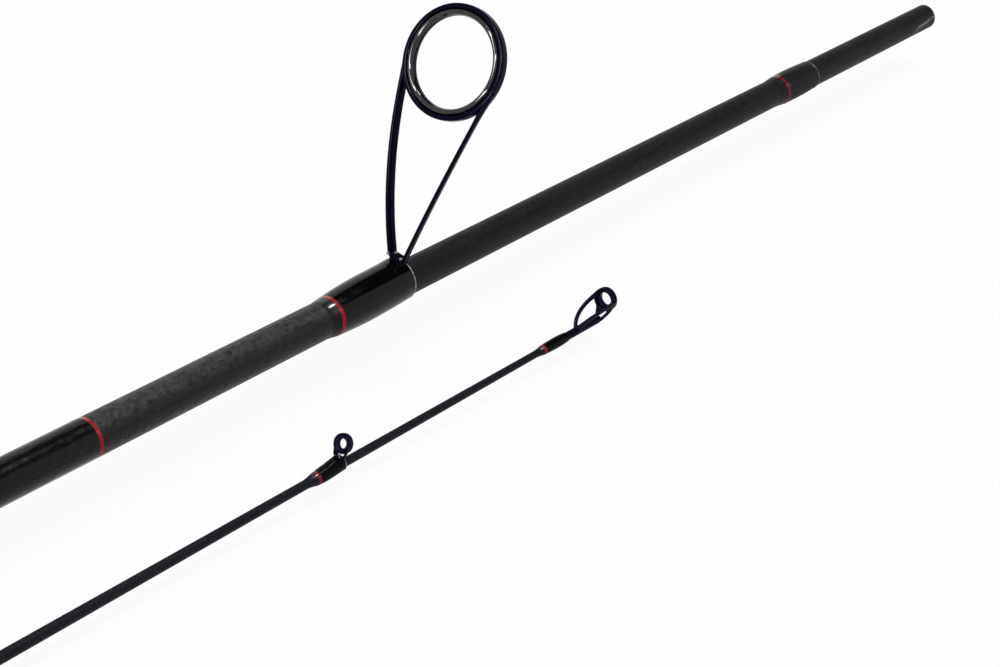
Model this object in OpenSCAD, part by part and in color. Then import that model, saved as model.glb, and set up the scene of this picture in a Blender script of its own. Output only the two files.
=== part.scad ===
// Two-piece spinning rod, taken apart: the butt section with its handle, and the tip section lying beside it.
// X runs from the butt cap to the tip, Z is the guide side, and the origin is the middle of the butt cap's end face.

/* [Butt section] */
// Length of the butt section, cap to male end
butt_len = 1015.2; // [950:0.2:1100]
// Outside diameter of the butt blank at the cap
butt_d = 12.5; // [11.5:0.1:13.5]
// Loss of diameter for each metre of the butt blank
butt_taper = 4.94; // [4:0.02:5.6]
// Wall of the butt blank
blank_wall = 1.1; // [0.8:0.05:1.4]
// Rounding of the male end's edge
end_round = 0.4; // [0.2:0.05:0.6]

/* [Tip section] */
// Length of the tip section, mouth to the end of the tip-top's tube
tip_len = 1016.1; // [960:0.1:1080]
// Depth of the socket that slides over the male end
socket_depth = 60; // [45:1:66]
// Wall of the socket at its mouth
socket_wall = 0.9; // [0.7:0.05:1.2]
// Length of the step from the socket down to the slim blank
socket_step = 85; // [60:1:110]
// Diameter of the blank ahead of the socket
slim_d = 7.3; // [6.8:0.1:7.8]
// Diameter of the blank a third of the way to the tip
third_d = 4.85; // [4.4:0.05:5.3]
// Diameter of the blank where the fine tip starts
fine_d = 2.56; // [2.3:0.02:2.8]
// Diameter of the blank at its very tip
tip_d = 1.7; // [1.5:0.02:1.8]
// Length of the fine tip
fine_len = 180; // [140:1:220]
// Length of blank that stays hollow ahead of the socket
hollow_len = 420; // [300:1:500]
// Sideways distance from the butt section's line
tip_aside = 34; // [30:1:60]
// How far the tip-top lies ahead of the stripper guide's legs
tip_ahead = 40.6; // [30:0.1:80]

/* [Handle] */
// Radius of the butt cap
cap_r = 14.3; // [13.5:0.1:16]
// Length of the butt cap
cap_len = 24; // [20:1:30]
// Thickness of the butt cap's end wall
cap_floor = 4; // [3:0.5:6]
// Radius of the butt cap's rounded edge
cap_round = 3; // [2:0.5:4]
// Depth of the ring grooves round the butt cap
groove_depth = 0.5; // [0.3:0.1:0.8]
// Length of the rear grip
rear_grip_len = 98; // [85:1:110]
// Radius of the rear grip where it meets the cap
rear_grip_r = 13.2; // [12.5:0.1:14]
// Radius of the rear grip's waist
rear_waist_r = 11.2; // [10.2:0.1:12]
// Radius of the rear grip's swell near its nose
rear_swell_r = 11.9; // [11.2:0.1:12.6]
// Radius of the grips' small ends
grip_nose_r = 8.4; // [7.9:0.1:9]
// Bare blank between the rear grip and the reel seat
split_gap = 90; // [60:1:120]
// Length of each metal winding check
check_len = 5; // [4:0.5:7]
// Height of a winding check's lip above the blank
check_lip = 2.2; // [1.8:0.1:2.6]
// Length of a winding check's straight lip
lip_len = 1.5; // [1:0.1:2]
// Small chamfer on turned metal and moulded edges
edge_cut = 0.4; // [0.2:0.05:0.6]
// Length of the cone grip behind the reel seat
seat_grip_len = 34; // [26:1:42]
// Length of the fore grip
fore_grip_len = 54; // [44:1:64]
// Radius of the fore grip where it meets the reel seat
fore_grip_r = 12.2; // [11.8:0.1:13]

/* [Reel seat] */
// Length of the reel seat's barrel
seat_len = 116; // [112:1:124]
// Radius of the barrel
seat_r = 11.2; // [10.8:0.1:11.8]
// Radius of the barrel's bore
seat_bore_r = 6.5; // [6.3:0.05:6.8]
// Height of the flat saddle above the rod's line
saddle_z = 7.6; // [7.4:0.1:7.9]
// Length of the barrel's rear shoulder
shoulder_len = 6; // [4:0.5:8]
// Length of each hood
hood_len = 22; // [20:0.5:24]
// Wall of each hood
hood_wall = 1.3; // [1:0.1:1.6]
// Radius of the pocket at a hood's mouth
pocket_r = 8.4; // [8:0.1:8.8]
// Height of the pocket above the saddle at a hood's mouth
pocket_h = 5.8; // [5.5:0.1:6.2]
// Depth of a hood's pocket
pocket_depth = 15; // [13:0.5:16]
// How much a pocket's radius shrinks over its depth
pocket_shrink = 1; // [0.8:0.1:1.4]
// Pitch of the barrel's thread
thread_pitch = 2; // [1.5:0.25:2.5]
// Depth of the barrel's thread
thread_depth = 0.6; // [0.4:0.05:0.8]
// Length of barrel that is threaded
thread_len = 54; // [46:2:60]
// Travel of the moving hood
hood_travel = 24; // [18:1:26]
// Length of the lock nut's fluted body
nut_len = 11; // [9:0.5:13]
// Length of the lock nut's trim ring
nut_ring_len = 3; // [2:0.5:4]
// Wall of the lock nut
nut_wall = 2.2; // [1.8:0.1:2.5]
// Number of flutes round the lock nut
nut_flutes = 12; // [8:1:16]
// Radius of each flute
flute_r = 1.5; // [1.2:0.1:1.8]
// Number of tape arbors between the blank and the barrel
arbor_count = 3; // [2:1:4]
// Length of each arbor
arbor_len = 18; // [12:1:22]

/* [Guides] */
// Distance from the butt end to the stripper guide's legs
stripper_x = 765.5; // [740:0.5:800]
// Outside diameter of the stripper guide's frame
stripper_od = 27.8; // [25:0.1:30]
// Height of the stripper ring's centre above the blank
stripper_h = 53.5; // [48:0.5:60]
// Outside diameter of the smallest running guide's frame
small_od = 4.8; // [4.5:0.1:5.5]
// Height of the smallest guide's ring centre above the blank
small_h = 4.7; // [4.5:0.1:5.5]
// Distance from the tip-top to the first guide
first_gap = 95.8; // [85:0.1:105]
// Growth of each gap between guides over the one before
gap_growth = 1.18; // [1.1:0.01:1.2]
// Growth of each frame over the one before, from the fourth guide on
od_growth = 1.39; // [1.3:0.01:1.45]
// Power by which a ring's height follows its frame's diameter
ring_rise = 1.5; // [1.4:0.05:1.8]
// Forward tilt of every ring
ring_tilt = 25.5; // [18:0.5:30]
// Forward lean of the legs, root to ring
leg_lean = 11; // [8:0.5:14]
// Rim of the stripper frame and ring together, across the radius
rim_big = 2.9; // [2.6:0.1:3.2]
// Rim of the smallest frame and ring together, across the radius
rim_small = 1.13; // [1:0.01:1.4]
// Share of the rim that is the ceramic ring
ring_share = 0.55; // [0.5:0.01:0.6]
// Thickness of the stripper guide's legs
leg_t_big = 0.75; // [0.6:0.05:1.2]
// Thickness of the smallest guide's legs
leg_t_small = 0.4; // [0.35:0.01:0.6]
// Width of the stripper guide's legs along the rod
leg_w_big = 2.1; // [1.8:0.1:3]
// Width of the smallest guide's legs along the rod
leg_w_small = 1.0; // [0.8:0.1:1.4]
// Half the spacing of the stripper guide's leg roots
root_big = 1.15; // [0.9:0.05:1.4]
// Half the spacing of the smallest guide's leg roots
root_small = 0.5; // [0.45:0.05:0.8]
// Height of the web between the stripper guide's legs
web_big = 4.6; // [4:0.1:5.2]
// Height of the web between the smallest guide's legs
web_small = 2.3; // [2:0.1:2.5]
// Backward bow of the legs for each millimetre of their length
side_bow = 0.057; // [0.03:0.001:0.08]
// Outward bow of the legs for each millimetre of their length
front_bow = 0.018; // [0.01:0.001:0.03]
// Thickness of the stripper guide's foot at the legs
foot_t_big = 0.85; // [0.6:0.05:1]
// Thickness of the smallest guide's foot at the legs
foot_t_small = 0.35; // [0.25:0.05:0.4]
// Width of a foot at the legs for each millimetre of leg root spacing
foot_flare = 1.5; // [1.2:0.1:1.7]

/* [Tip top] */
// Outside diameter of the tip-top's tube
tube_od = 2.1; // [2.05:0.05:2.4]
// Length of the tip-top's tube
tube_len = 14.7; // [13:0.1:17]
// Closed nose of the tip-top's tube
nose_len = 1; // [0.8:0.1:1.5]
// Outside diameter of the tip-top's ring frame
top_od = 5.6; // [5.2:0.1:6.4]
// Height of the tip-top ring's centre above the rod's line
top_h = 5.1; // [4.8:0.1:5.6]
// Distance from the tube's end forward to the ring's centre
ring_ahead = 1.9; // [1.5:0.1:2.4]
// Forward tilt of the tip-top's ring
top_tilt = 8; // [4:0.5:16]
// Distance from the ring's centre back to the foot of its side braces
brace_len = 10.7; // [9:0.1:11]
// Height of the side braces' upper ends above the ring's centre
brace_rise = 0.4; // [0.2:0.1:0.8]
// Upward bow of the side braces
brace_arch = 1.35; // [1:0.05:1.7]
// Outward bow of the side braces
brace_bow = 0.25; // [0.15:0.05:0.4]
// Width of the side braces and straps, seen from the side
brace_w = 0.85; // [0.7:0.05:1.1]
// Thickness of the side braces and straps
brace_t = 0.55; // [0.45:0.05:0.65]

/* [Wraps] */
// Swell of the stripper wrap over the blank
swell_big = 1.27; // [1:0.01:1.6]
// Swell of the smallest guide's wrap over the blank
swell_small = 0.76; // [0.6:0.01:0.9]
// Wrap behind the stripper guide's legs
behind_big = 24.2; // [20:0.1:28]
// Wrap behind the smallest guide's legs
behind_small = 8; // [7:0.1:9]
// Wrap ahead of the stripper guide's legs
ahead_big = 1.5; // [1.4:0.1:3]
// Wrap ahead of the smallest guide's legs
ahead_small = 1.0; // [0.8:0.1:2]
// Width of a red trim band
trim_w = 1.3; // [1:0.1:2]
// Height of the stripper wrap's trim band above the blank
trim_rise_big = 0.7; // [0.5:0.01:0.9]
// Height of the smallest wraps' trim bands above the blank
trim_rise_small = 0.57; // [0.4:0.01:0.7]
// Height of the ferrule wraps' trim bands above the blank
ferrule_rise = 0.47; // [0.35:0.01:0.5]
// Height of the tip-top wrap's trim band above the blank
top_rise = 0.38; // [0.3:0.01:0.45]
// How far a guide wrap's middle is raised over the foot at the legs, as a share of its swell
wrap_lift = 0.68; // [0.4:0.01:0.75]
// Clear epoxy behind the stripper wrap's trim band
skirt_big = 2.8; // [2:0.1:4]
// Clear epoxy behind the smallest trim bands
skirt_small = 2.0; // [0.8:0.1:2.4]
// Clear epoxy behind the tip-top wrap's trim band
top_skirt = 1.3; // [0.8:0.1:2]
// Clear epoxy behind the ferrule wraps' trim bands
ferrule_skirt = 3.2; // [1.5:0.1:4]
// Length of the woven sleeve behind the stripper wrap
sleeve_len = 72.2; // [50:0.1:110]
// Wall of the woven sleeve
sleeve_wall = 0.2; // [0.15:0.01:0.3]
// Length of the male end ahead of its wrap
male_len = 67; // [66:0.5:80]
// Length of the ferrule wraps
ferrule_wrap_len = 15.8; // [14:0.2:26]
// Swell of the ferrule wraps over the blank
ferrule_swell = 0.5; // [0.4:0.05:0.7]
// Length of the tip-top's wrap
top_wrap_len = 10.8; // [7:0.2:12]
// Swell of the tip-top's wrap over the blank
top_swell = 0.5; // [0.4:0.02:0.6]
// Length of the tip-top's tube that its wrap covers
top_cover = 2.2; // [1:0.1:2.5]

/* [Fits] */
// Glue line between pieces that are bonded
bond = 0.03; // [0.02:0.01:0.05]
// Running clearance of the hood and nut on the barrel
slide_fit = 0.1; // [0.05:0.01:0.12]
// Clearance of the socket over the male end
ferrule_fit = 0.03; // [0.02:0.01:0.05]
// Gap between the moving hood and the lock nut
nut_gap = 0.3; // [0.2:0.05:0.4]

/* [Hidden] */
guide_count = 6;
small_guides = 3;
fine = 96;
leg_drop = 8;
steps = 12;
cut = 1;
tip_x = stripper_x + tip_ahead - tip_len;
socket_d = 2 * (butt_d / 2 - butt_taper * (butt_len - socket_depth) / 2000 + ferrule_fit + socket_wall);
tip_z = socket_d / 2 + ferrule_swell - cap_r;
slim_x = socket_depth + socket_step;
third_x = slim_x + (tip_len - slim_x) / 3;
tip_stations = [
    [0, socket_d],
    [socket_depth, socket_d - butt_taper * socket_depth / 1000],
    [slim_x, slim_d],
    [third_x, third_d],
    [tip_len - fine_len, fine_d],
    [tip_len, tip_d]
];
rear_grip_x = cap_len;
rear_check_x = rear_grip_x + rear_grip_len;
seat_check_x = rear_check_x + check_len + split_gap;
seat_grip_x = seat_check_x + check_len;
seat_x = seat_grip_x + seat_grip_len;
fore_grip_x = seat_x + seat_len;
fore_check_x = fore_grip_x + fore_grip_len;
nut_end_x = fore_grip_x - nut_ring_len;
nut_x = nut_end_x - nut_ring_len - nut_len;
hood_x = nut_x - nut_gap - hood_len;
flat_x = seat_x + shoulder_len;
fixed_mouth_x = flat_x + bond + hood_len;
hood_bore_r = seat_r + slide_fit;
hood_r = hood_bore_r + hood_wall;
pocket_z = saddle_z + pocket_h - pocket_r;
stripper_wrap_x = stripper_x - behind_big;
sleeve_end_x = stripper_wrap_x - skirt_big;
sleeve_x = sleeve_end_x - sleeve_len;
male_x = butt_len - male_len;
tube_x = tip_len - tube_len;
tube_r = tube_od / 2;
top_ring_x = tip_len + ring_ahead;
top_wrap_x = tube_x + top_cover - top_wrap_len;

GUIDE_PARTS = ["frame", "ring", "wrap", "trim"];

function mix(a, b, t) = a + (b - a) * t;
function ease(t) = t * t * (3 - 2 * t);

// Radius of each section's blank, from its own handle end
function butt_r(x) = (butt_d - butt_taper * x / 1000) / 2;
function tip_r(x) = lookup(x, tip_stations) / 2;
function blank_r(on_tip, x) = on_tip ? tip_r(x) : butt_r(x);

// A smooth change of radius, and a rounded nose, as [radius, place] points
function smooth_run(x0, r0, x1, r1) =
    [for (i = [0:steps]) [mix(r0, r1, ease(i / steps)), mix(x0, x1, i / steps)]];
function swell_run(x0, r0, x1, r1) =
    [for (i = [0:steps]) [mix(r0, r1, sin(90 * i / steps)), mix(x0, x1, i / steps)]];
function round_nose(x0, r0, x1, r1) =
    [for (i = [1:steps]) [mix(r1, r0, cos(90 * i / steps)), mix(x0, x1, sin(90 * i / steps))]];

// A guide is [on the tip section, place of its legs, frame diameter, ring height over the blank]
function guide_od(i) = small_od * pow(od_growth, max(i - small_guides, 0));
function guide_gaps(i) = first_gap * (pow(gap_growth, i) - 1) / (gap_growth - 1);
function guide_h(i) = small_h * pow(guide_od(i) / small_od, ring_rise);
function guide(i) = [true, tip_len - guide_gaps(i), guide_od(i), guide_h(i)];
stripper = [false, stripper_x, stripper_od, stripper_h];

function size_share(g) = (g[2] - small_od) / (stripper_od - small_od);
function sized(g, small, big) = mix(small, big, size_share(g));
function root_r(g) = blank_r(g[0], g[1]);
function ring_z(g) = root_r(g) + g[3];
function ring_x(g) = g[1] + g[3] * tan(leg_lean);
function rim(g) = sized(g, rim_small, rim_big);
function collar_wall(g) = rim(g) * (1 - ring_share);
function seat_of(g) = g[2] / 2 - collar_wall(g);
function leg_t(g) = sized(g, leg_t_small, leg_t_big);
function leg_w(g) = sized(g, leg_w_small, leg_w_big);
function root(g) = sized(g, root_small, root_big);

// A leg's middle line: its ends seen from the handle and from the side, and where it is at a height
function bowed(a, b, bow, z) =
    let (t = (z - a[1]) / (b[1] - a[1])) mix(a[0], b[0], t) + 4 * bow * norm(b - a) * t * (1 - t);
function front_low(g) = [root(g), root_r(g) - 1.4 * leg_t(g)];
function front_top(g) =
    let (r = g[2] / 2 - collar_wall(g) / 2) [r * cos(leg_drop), ring_z(g) - r * cos(ring_tilt) * sin(leg_drop)];
function side_low(g) = [g[1], root_r(g) - 1.9 * leg_t(g)];
function side_top(g) = [ring_x(g), ring_z(g)];
function leg_y(g, z) = bowed(front_low(g), front_top(g), front_bow, z);
function leg_x(g, z) = bowed(side_low(g), side_top(g), -side_bow, z);

// A profile of [radius, place] points turned about the rod's line
module turned(points) rotate([0, 90, 0]) rotate_extrude($fn = fine) polygon(points);

// A section's blank as a solid, with a glue line, to cut the bore of what sits on it
module blank_core(on_tip, x0, x1) {
    a = x0 - cut;
    b = x1 + cut;
    turned([[0, a], [blank_r(on_tip, a) + bond, a], [blank_r(on_tip, b) + bond, b], [0, b]]);
}

// A turned outline on the butt blank
module on_butt(outline) {
    x0 = outline[0][1];
    x1 = outline[len(outline) - 1][1];
    difference() {
        turned(concat([[0, x0]], outline, [[0, x1]]));
        blank_core(false, x0, x1);
    }
}

// A strip of even width that bows to the left of the way from a to b
module arc_band(a, b, bow, width) {
    chord = norm(b - a);
    r = (chord * chord / 4 + bow * bow) / (2 * bow);
    translate(a) rotate(atan2(b[1] - a[1], b[0] - a[0])) intersection() {
        translate([chord / 2, bow - r]) difference() {
            circle(r + width / 2, $fn = fine);
            circle(r - width / 2, $fn = fine);
        }
        translate([0, -width]) square([chord, bow + 2 * width]);
    }
}

// An outline seen from the handle, drawn along X, and one seen from the side, drawn along Y
module seen_from_handle(x0, x1) translate([x0, 0, 0]) rotate([90, 0, 90]) linear_extrude(x1 - x0) children();
module seen_from_side(half) rotate([90, 0, 0]) linear_extrude(2 * half, center = true) children();

// A ring's place, with its axis along Z before it is tilted forward
module at_ring(x, z, tilt) translate([x, 0, z]) rotate([0, 90 + tilt, 0]) children();

// Collar with rounded edges that holds the ring, before its seat is bored
module collar(outer_r, wall, half) {
    edge = 0.4 * wall;
    inner_r = outer_r - 2 * wall;
    bends = 5;
    bend = [for (i = [0:bends]) [outer_r - edge * (1 - cos(90 * i / bends)), half - edge * (1 - sin(90 * i / bends))]];
    rotate_extrude($fn = fine) polygon(concat(
        [[inner_r, -half]], [for (i = [0:bends]) [bend[bends - i][0], -bend[bends - i][1]]], bend,
        [[inner_r, half]]));
}

// Ceramic ring with a round inner face, seated in its collar
module ceramic(outer_r, bore_r) {
    half = (outer_r - bore_r) * 0.9;
    rotate_extrude($fn = fine) intersection() {
        union() {
            translate([bore_r + half, 0]) circle(half, $fn = fine);
            translate([bore_r + half, -half]) square([half, 2 * half]);
        }
        translate([bore_r, -half]) square([outer_r - bond - bore_r, 2 * half]);
    }
}

// Legs of a guide as seen from the handle, with the web that joins their roots
module legs_front(g) {
    low = front_low(g);
    top = front_top(g);
    web_low = root_r(g) - leg_t(g);
    web_z = root_r(g) + sized(g, web_small, web_big);
    low_half = leg_y(g, web_low);
    web_half = leg_y(g, web_z);
    for (side = [0, 1]) mirror([side, 0]) arc_band(top, low, front_bow * norm(top - low), leg_t(g));
    difference() {
        polygon([[-low_half, web_low], [low_half, web_low], [web_half, web_z], [-web_half, web_z]]);
        translate([0, web_z]) circle(0.9 * web_half, $fn = fine);
    }
}

// Legs of a guide as seen from the side
module legs_side(g) {
    low = side_low(g);
    top = side_top(g);
    arc_band(low, top, side_bow * norm(top - low), leg_w(g));
}

// Tongue that lies on the blank under the wrap, thinning to its end; the slack makes its bed in the wrap
module foot(g, slack) {
    x0 = g[1] - 0.8 * sized(g, behind_small, behind_big) - slack;
    x1 = g[1] + 0.3 * leg_w(g);
    r0 = blank_r(g[0], x0) + 2 * bond + slack;
    r1 = blank_r(g[0], x1) + bond + sized(g, foot_t_small, foot_t_big) + slack;
    wide = root(g) * foot_flare + slack;
    intersection() {
        turned([[0, x0], [r0, x0], [r1, x1], [0, x1]]);
        linear_extrude(2 * r1 + ring_z(g)) polygon([[x0, -wide / 2], [x1, -wide], [x1, wide], [x0, wide / 2]]);
    }
}

// Slot in the wrap that the roots of the legs rise through
module root_slot(g) {
    slack = 2 * bond;
    z0 = root_r(g) - leg_t(g);
    z1 = root_r(g) + 3 * sized(g, swell_small, swell_big);
    half0 = leg_y(g, z0) + leg_t(g) / 2 + slack;
    half1 = leg_y(g, z1) + leg_t(g) / 2 + slack;
    reach = leg_w(g) / 2 + slack;
    seen_from_handle(min(leg_x(g, z0), leg_x(g, z1)) - reach, max(leg_x(g, z0), leg_x(g, z1)) + reach)
        polygon([[-half0, z0], [half0, z0], [half1, z1], [-half1, z1]]);
}

module guide_frame(g) {
    difference() {
        union() {
            intersection() {
                seen_from_handle(g[1] - g[2] - leg_w(g), ring_x(g) + g[2]) legs_front(g);
                seen_from_side(g[2]) legs_side(g);
            }
            foot(g, 0);
            at_ring(ring_x(g), ring_z(g), ring_tilt) collar(g[2] / 2, collar_wall(g), 0.62 * leg_w(g));
        }
        at_ring(ring_x(g), ring_z(g), ring_tilt) cylinder(h = 2 * leg_w(g), r = seat_of(g), center = true, $fn = fine);
        blank_core(g[0], g[1] - sized(g, behind_small, behind_big), ring_x(g));
    }
}

module guide_ring(g) at_ring(ring_x(g), ring_z(g), ring_tilt) ceramic(seat_of(g), g[2] / 2 - rim(g));

// Wrap over a guide's foot: it swells from its trim band, leans up over the foot and rounds off at the legs
module guide_wrap(g) {
    x0 = g[1] - sized(g, behind_small, behind_big) + trim_w;
    x1 = g[1] + sized(g, ahead_small, ahead_big);
    xm = mix(x0, g[1], 0.5);
    swell = sized(g, swell_small, swell_big);
    climb = wrap_lift * swell / (g[1] - x0);
    r0 = blank_r(g[0], x0) + sized(g, trim_rise_small, trim_rise_big);
    rm = blank_r(g[0], xm) + swell;
    r1 = blank_r(g[0], x1) + climb * (x1 - x0) + 2 * bond;
    difference() {
        intersection() {
            translate([x0, 0, 0]) rotate([0, -atan(climb), 0]) translate([-x0, 0, 0])
                turned(concat([[0, x0 - cut], [r0, x0 - cut]], swell_run(x0, r0, xm, rm),
                              round_nose(xm, rm, x1, r1), [[0, x1]]));
            turned([[0, x0], [2 * rm, x0], [2 * rm, x1 + cut], [0, x1 + cut]]);
        }
        blank_core(g[0], x0, x1);
        foot(g, bond);
        root_slot(g);
    }
}

module guide_trim(g) {
    x0 = g[1] - sized(g, behind_small, behind_big);
    edge = g[0] ? 2 * bond : sleeve_wall + bond;
    trim_band(g[0], x0, 1, sized(g, trim_rise_small, trim_rise_big), sized(g, skirt_small, skirt_big), edge);
}

// Band of coloured thread that ends a wrap at x0, under a skirt of clear epoxy that runs out away from the wrap
module trim_band(on_tip, x0, way, rise, skirt, edge) {
    out = x0 - way * skirt;
    in = x0 + way * trim_w;
    r_in = blank_r(on_tip, in) + rise;
    r_out = blank_r(on_tip, out) + edge;
    difference() {
        turned(concat([[0, out]], smooth_run(out, r_out, in, r_in), [[0, in]]));
        blank_core(on_tip, min(out, in), max(out, in));
    }
}

// Wrap with no foot under it, its trim band at x0, its crest a share of the way along and its rounded end beyond
module plain_wrap(on_tip, x0, length, way, swell, rise, crest) {
    a = x0 + way * trim_w;
    b = x0 + way * length;
    m = mix(a, b, crest);
    ra = blank_r(on_tip, a) + rise;
    rm = blank_r(on_tip, m) + swell;
    difference() {
        turned(concat([[0, a]], swell_run(a, ra, m, rm), round_nose(m, rm, b, blank_r(on_tip, b) + 2 * bond),
                      [[0, b]]));
        blank_core(on_tip, min(a, b), max(a, b));
    }
}

module on_tip_section() translate([tip_x, -tip_aside, tip_z]) children();

module butt_blank() {
    ra = butt_r(cap_floor);
    rb = butt_r(butt_len);
    color("#27282b") turned([
        [ra - blank_wall, cap_floor], [ra, cap_floor], [rb, butt_len - end_round], [rb - end_round, butt_len],
        [rb - blank_wall, butt_len]
    ]);
}

module butt_cap() {
    groove_step = (cap_len - cap_round) / 4;
    color("#18191b") difference() {
        turned(concat([[0, 0], [cap_r - cap_round, 0]],
                      [for (i = [1:steps]) [cap_r - cap_round * (1 - sin(90 * i / steps)),
                                            cap_round * (1 - cos(90 * i / steps))]],
                      [[cap_r, cap_len - edge_cut], [cap_r - edge_cut, cap_len], [0, cap_len]]));
        for (i = [1:3])
            translate([cap_round + i * groove_step, 0, 0])
                rotate([0, 90, 0])
                    rotate_extrude($fn = fine) translate([cap_r, 0]) circle(groove_depth, $fn = 24);
        turned([[0, cap_floor], [butt_r(cap_floor) + bond, cap_floor], [butt_r(cap_len) + bond, cap_len],
                [0, cap_len + cut]]);
    }
}

module rear_grip() {
    waist_x = rear_grip_x + 0.5 * rear_grip_len;
    swell_x = rear_grip_x + 0.78 * rear_grip_len;
    color("#1d1e20") on_butt(concat(
        smooth_run(rear_grip_x, rear_grip_r, waist_x, rear_waist_r),
        smooth_run(waist_x, rear_waist_r, swell_x, rear_swell_r),
        round_nose(swell_x, rear_swell_r, rear_check_x, grip_nose_r)));
}

// Turned metal ring, its lip towards the grip it closes
module check_ring(x, way) {
    lip = butt_r(x) + check_lip;
    rim_r = butt_r(x) + check_lip / 2;
    outline = way > 0
        ? concat([[lip - edge_cut, x], [lip, x + edge_cut], [lip, x + lip_len]],
                 round_nose(x + lip_len, lip, x + check_len, rim_r))
        : [[rim_r, x], [lip, x + check_len - lip_len], [lip, x + check_len - edge_cut],
           [lip - edge_cut, x + check_len]];
    on_butt(outline);
}

module rear_check() color("#7a1420") check_ring(rear_check_x, 1);

module seat_check() color("#7a1420") check_ring(seat_check_x, -1);

module fore_check() color("#7a1420") check_ring(fore_check_x, 1);

module seat_grip() color("#1d1e20") on_butt(smooth_run(seat_grip_x, grip_nose_r, seat_x, hood_r));

module fore_grip() {
    neck_x = fore_grip_x + 0.55 * fore_grip_len;
    color("#1d1e20") on_butt(concat(
        smooth_run(fore_grip_x, fore_grip_r, neck_x, mix(fore_grip_r, grip_nose_r, 0.55)),
        smooth_run(neck_x, mix(fore_grip_r, grip_nose_r, 0.55), fore_check_x, grip_nose_r)));
}

// Barrel with a shoulder behind the fixed hood, a thread for the lock nut and a flat saddle for the reel's foot
module reel_seat() {
    flat_end = fore_grip_x - 2 * nut_ring_len;
    thread_x = fore_grip_x - nut_ring_len - thread_len;
    turns = floor(thread_len / thread_pitch);
    groove = [[-0.35, 0], [-0.1, 1], [0.1, 1], [0.35, 0]];
    thread = [for (i = [0:turns - 1]) for (p = groove)
        [seat_r - p[1] * thread_depth, thread_x + (i + 0.5 + p[0]) * thread_pitch]];
    color("#1f2023") difference() {
        turned(concat([[0, seat_x], [hood_r, seat_x], [hood_r, flat_x], [seat_r, flat_x]], thread,
                      [[seat_r, fore_grip_x], [0, fore_grip_x]]));
        turned([[0, seat_x - cut], [seat_bore_r, seat_x - cut], [seat_bore_r, fore_grip_x + cut],
                [0, fore_grip_x + cut]]);
        translate([flat_x, -seat_r, saddle_z]) cube([flat_end - flat_x, 2 * seat_r, seat_r]);
    }
}

module seat_arbors() {
    pitch = (seat_len - arbor_len) / (arbor_count - 1);
    color("#b7a27a") for (i = [0:arbor_count - 1]) {
        x = seat_x + i * pitch;
        on_butt([[seat_bore_r - bond, x], [seat_bore_r - bond, x + arbor_len]]);
    }
}

// Hood with its mouth at 0 facing -X: a sleeve on the barrel, a pocket over the saddle, a flat key behind the pocket
module hood(gap) {
    bore_r = seat_r + gap;
    end_r = pocket_r - pocket_shrink;
    tall = pocket_z + pocket_r + hood_wall;
    difference() {
        intersection() {
            union() {
                turned([[0, 2], [hood_r, 2], [hood_r, hood_len], [0, hood_len]]);
                translate([0, 0, pocket_z]) rotate([0, 90, 0])
                    cylinder(h = hood_len, r1 = pocket_r + hood_wall, r2 = end_r + hood_wall, $fn = fine);
            }
            turned([[0, 0], [tall, 0], [tall, pocket_depth], [hood_r, hood_len], [0, hood_len]]);
        }
        intersection() {
            turned([[0, -cut], [bore_r, -cut], [bore_r, hood_len + cut], [0, hood_len + cut]]);
            union() {
                translate([-cut, -tall, -tall]) cube([hood_len + 2 * cut, 2 * tall, tall + saddle_z + gap]);
                translate([-cut, -tall, -tall]) cube([pocket_depth + cut, 2 * tall, 2 * tall]);
            }
        }
        intersection() {
            translate([0, 0, pocket_z]) rotate([0, 90, 0])
                cylinder(h = pocket_depth, r1 = pocket_r, r2 = end_r, $fn = fine);
            translate([-cut, -tall, 0]) cube([pocket_depth + cut, 2 * tall, tall]);
        }
    }
}

module fixed_hood() color("#3a3c40") translate([fixed_mouth_x, 0, 0]) mirror([1, 0, 0]) hood(bond);

module moving_hood() color("#3a3c40") translate([hood_x, 0, 0]) hood(slide_fit);

module lock_nut() {
    outer_r = hood_bore_r + nut_wall;
    color("#1f2023") difference() {
        turned([[hood_bore_r, nut_x], [outer_r - edge_cut, nut_x], [outer_r, nut_x + edge_cut], [outer_r, nut_x + nut_len],
                [hood_bore_r, nut_x + nut_len]]);
        for (i = [0:nut_flutes - 1])
            rotate([i * 360 / nut_flutes, 0, 0])
                translate([nut_x - cut, 0, outer_r + flute_r * 0.55])
                    rotate([0, 90, 0])
                        cylinder(h = nut_len - edge_cut + cut, r = flute_r, $fn = 48);
    }
}

module lock_nut_ring() {
    x = nut_x + nut_len;
    outer_r = hood_bore_r + nut_wall;
    color("#7a1420") turned([[hood_bore_r, x], [outer_r, x], [outer_r, x + nut_ring_len - edge_cut],
                             [outer_r - edge_cut, x + nut_ring_len], [hood_bore_r, x + nut_ring_len]]);
}

module woven_sleeve()
    color("#292a2e") on_butt([
        [butt_r(sleeve_x) + bond + sleeve_wall, sleeve_x],
        [butt_r(sleeve_end_x) + bond + sleeve_wall, sleeve_end_x]
    ]);

module sleeve_trim() {
    x = sleeve_x - trim_w;
    color("#aa1c28") on_butt([
        [butt_r(x) + bond + sleeve_wall, x], [butt_r(sleeve_x) + bond + sleeve_wall, sleeve_x]
    ]);
}

module butt_ferrule_wrap()
    color("#2c2d30") plain_wrap(false, male_x - ferrule_wrap_len, ferrule_wrap_len, 1, ferrule_swell, ferrule_rise, 0.2);

module butt_ferrule_trim()
    color("#aa1c28") trim_band(false, male_x - ferrule_wrap_len, 1, ferrule_rise, ferrule_skirt, 2 * bond);

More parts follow.
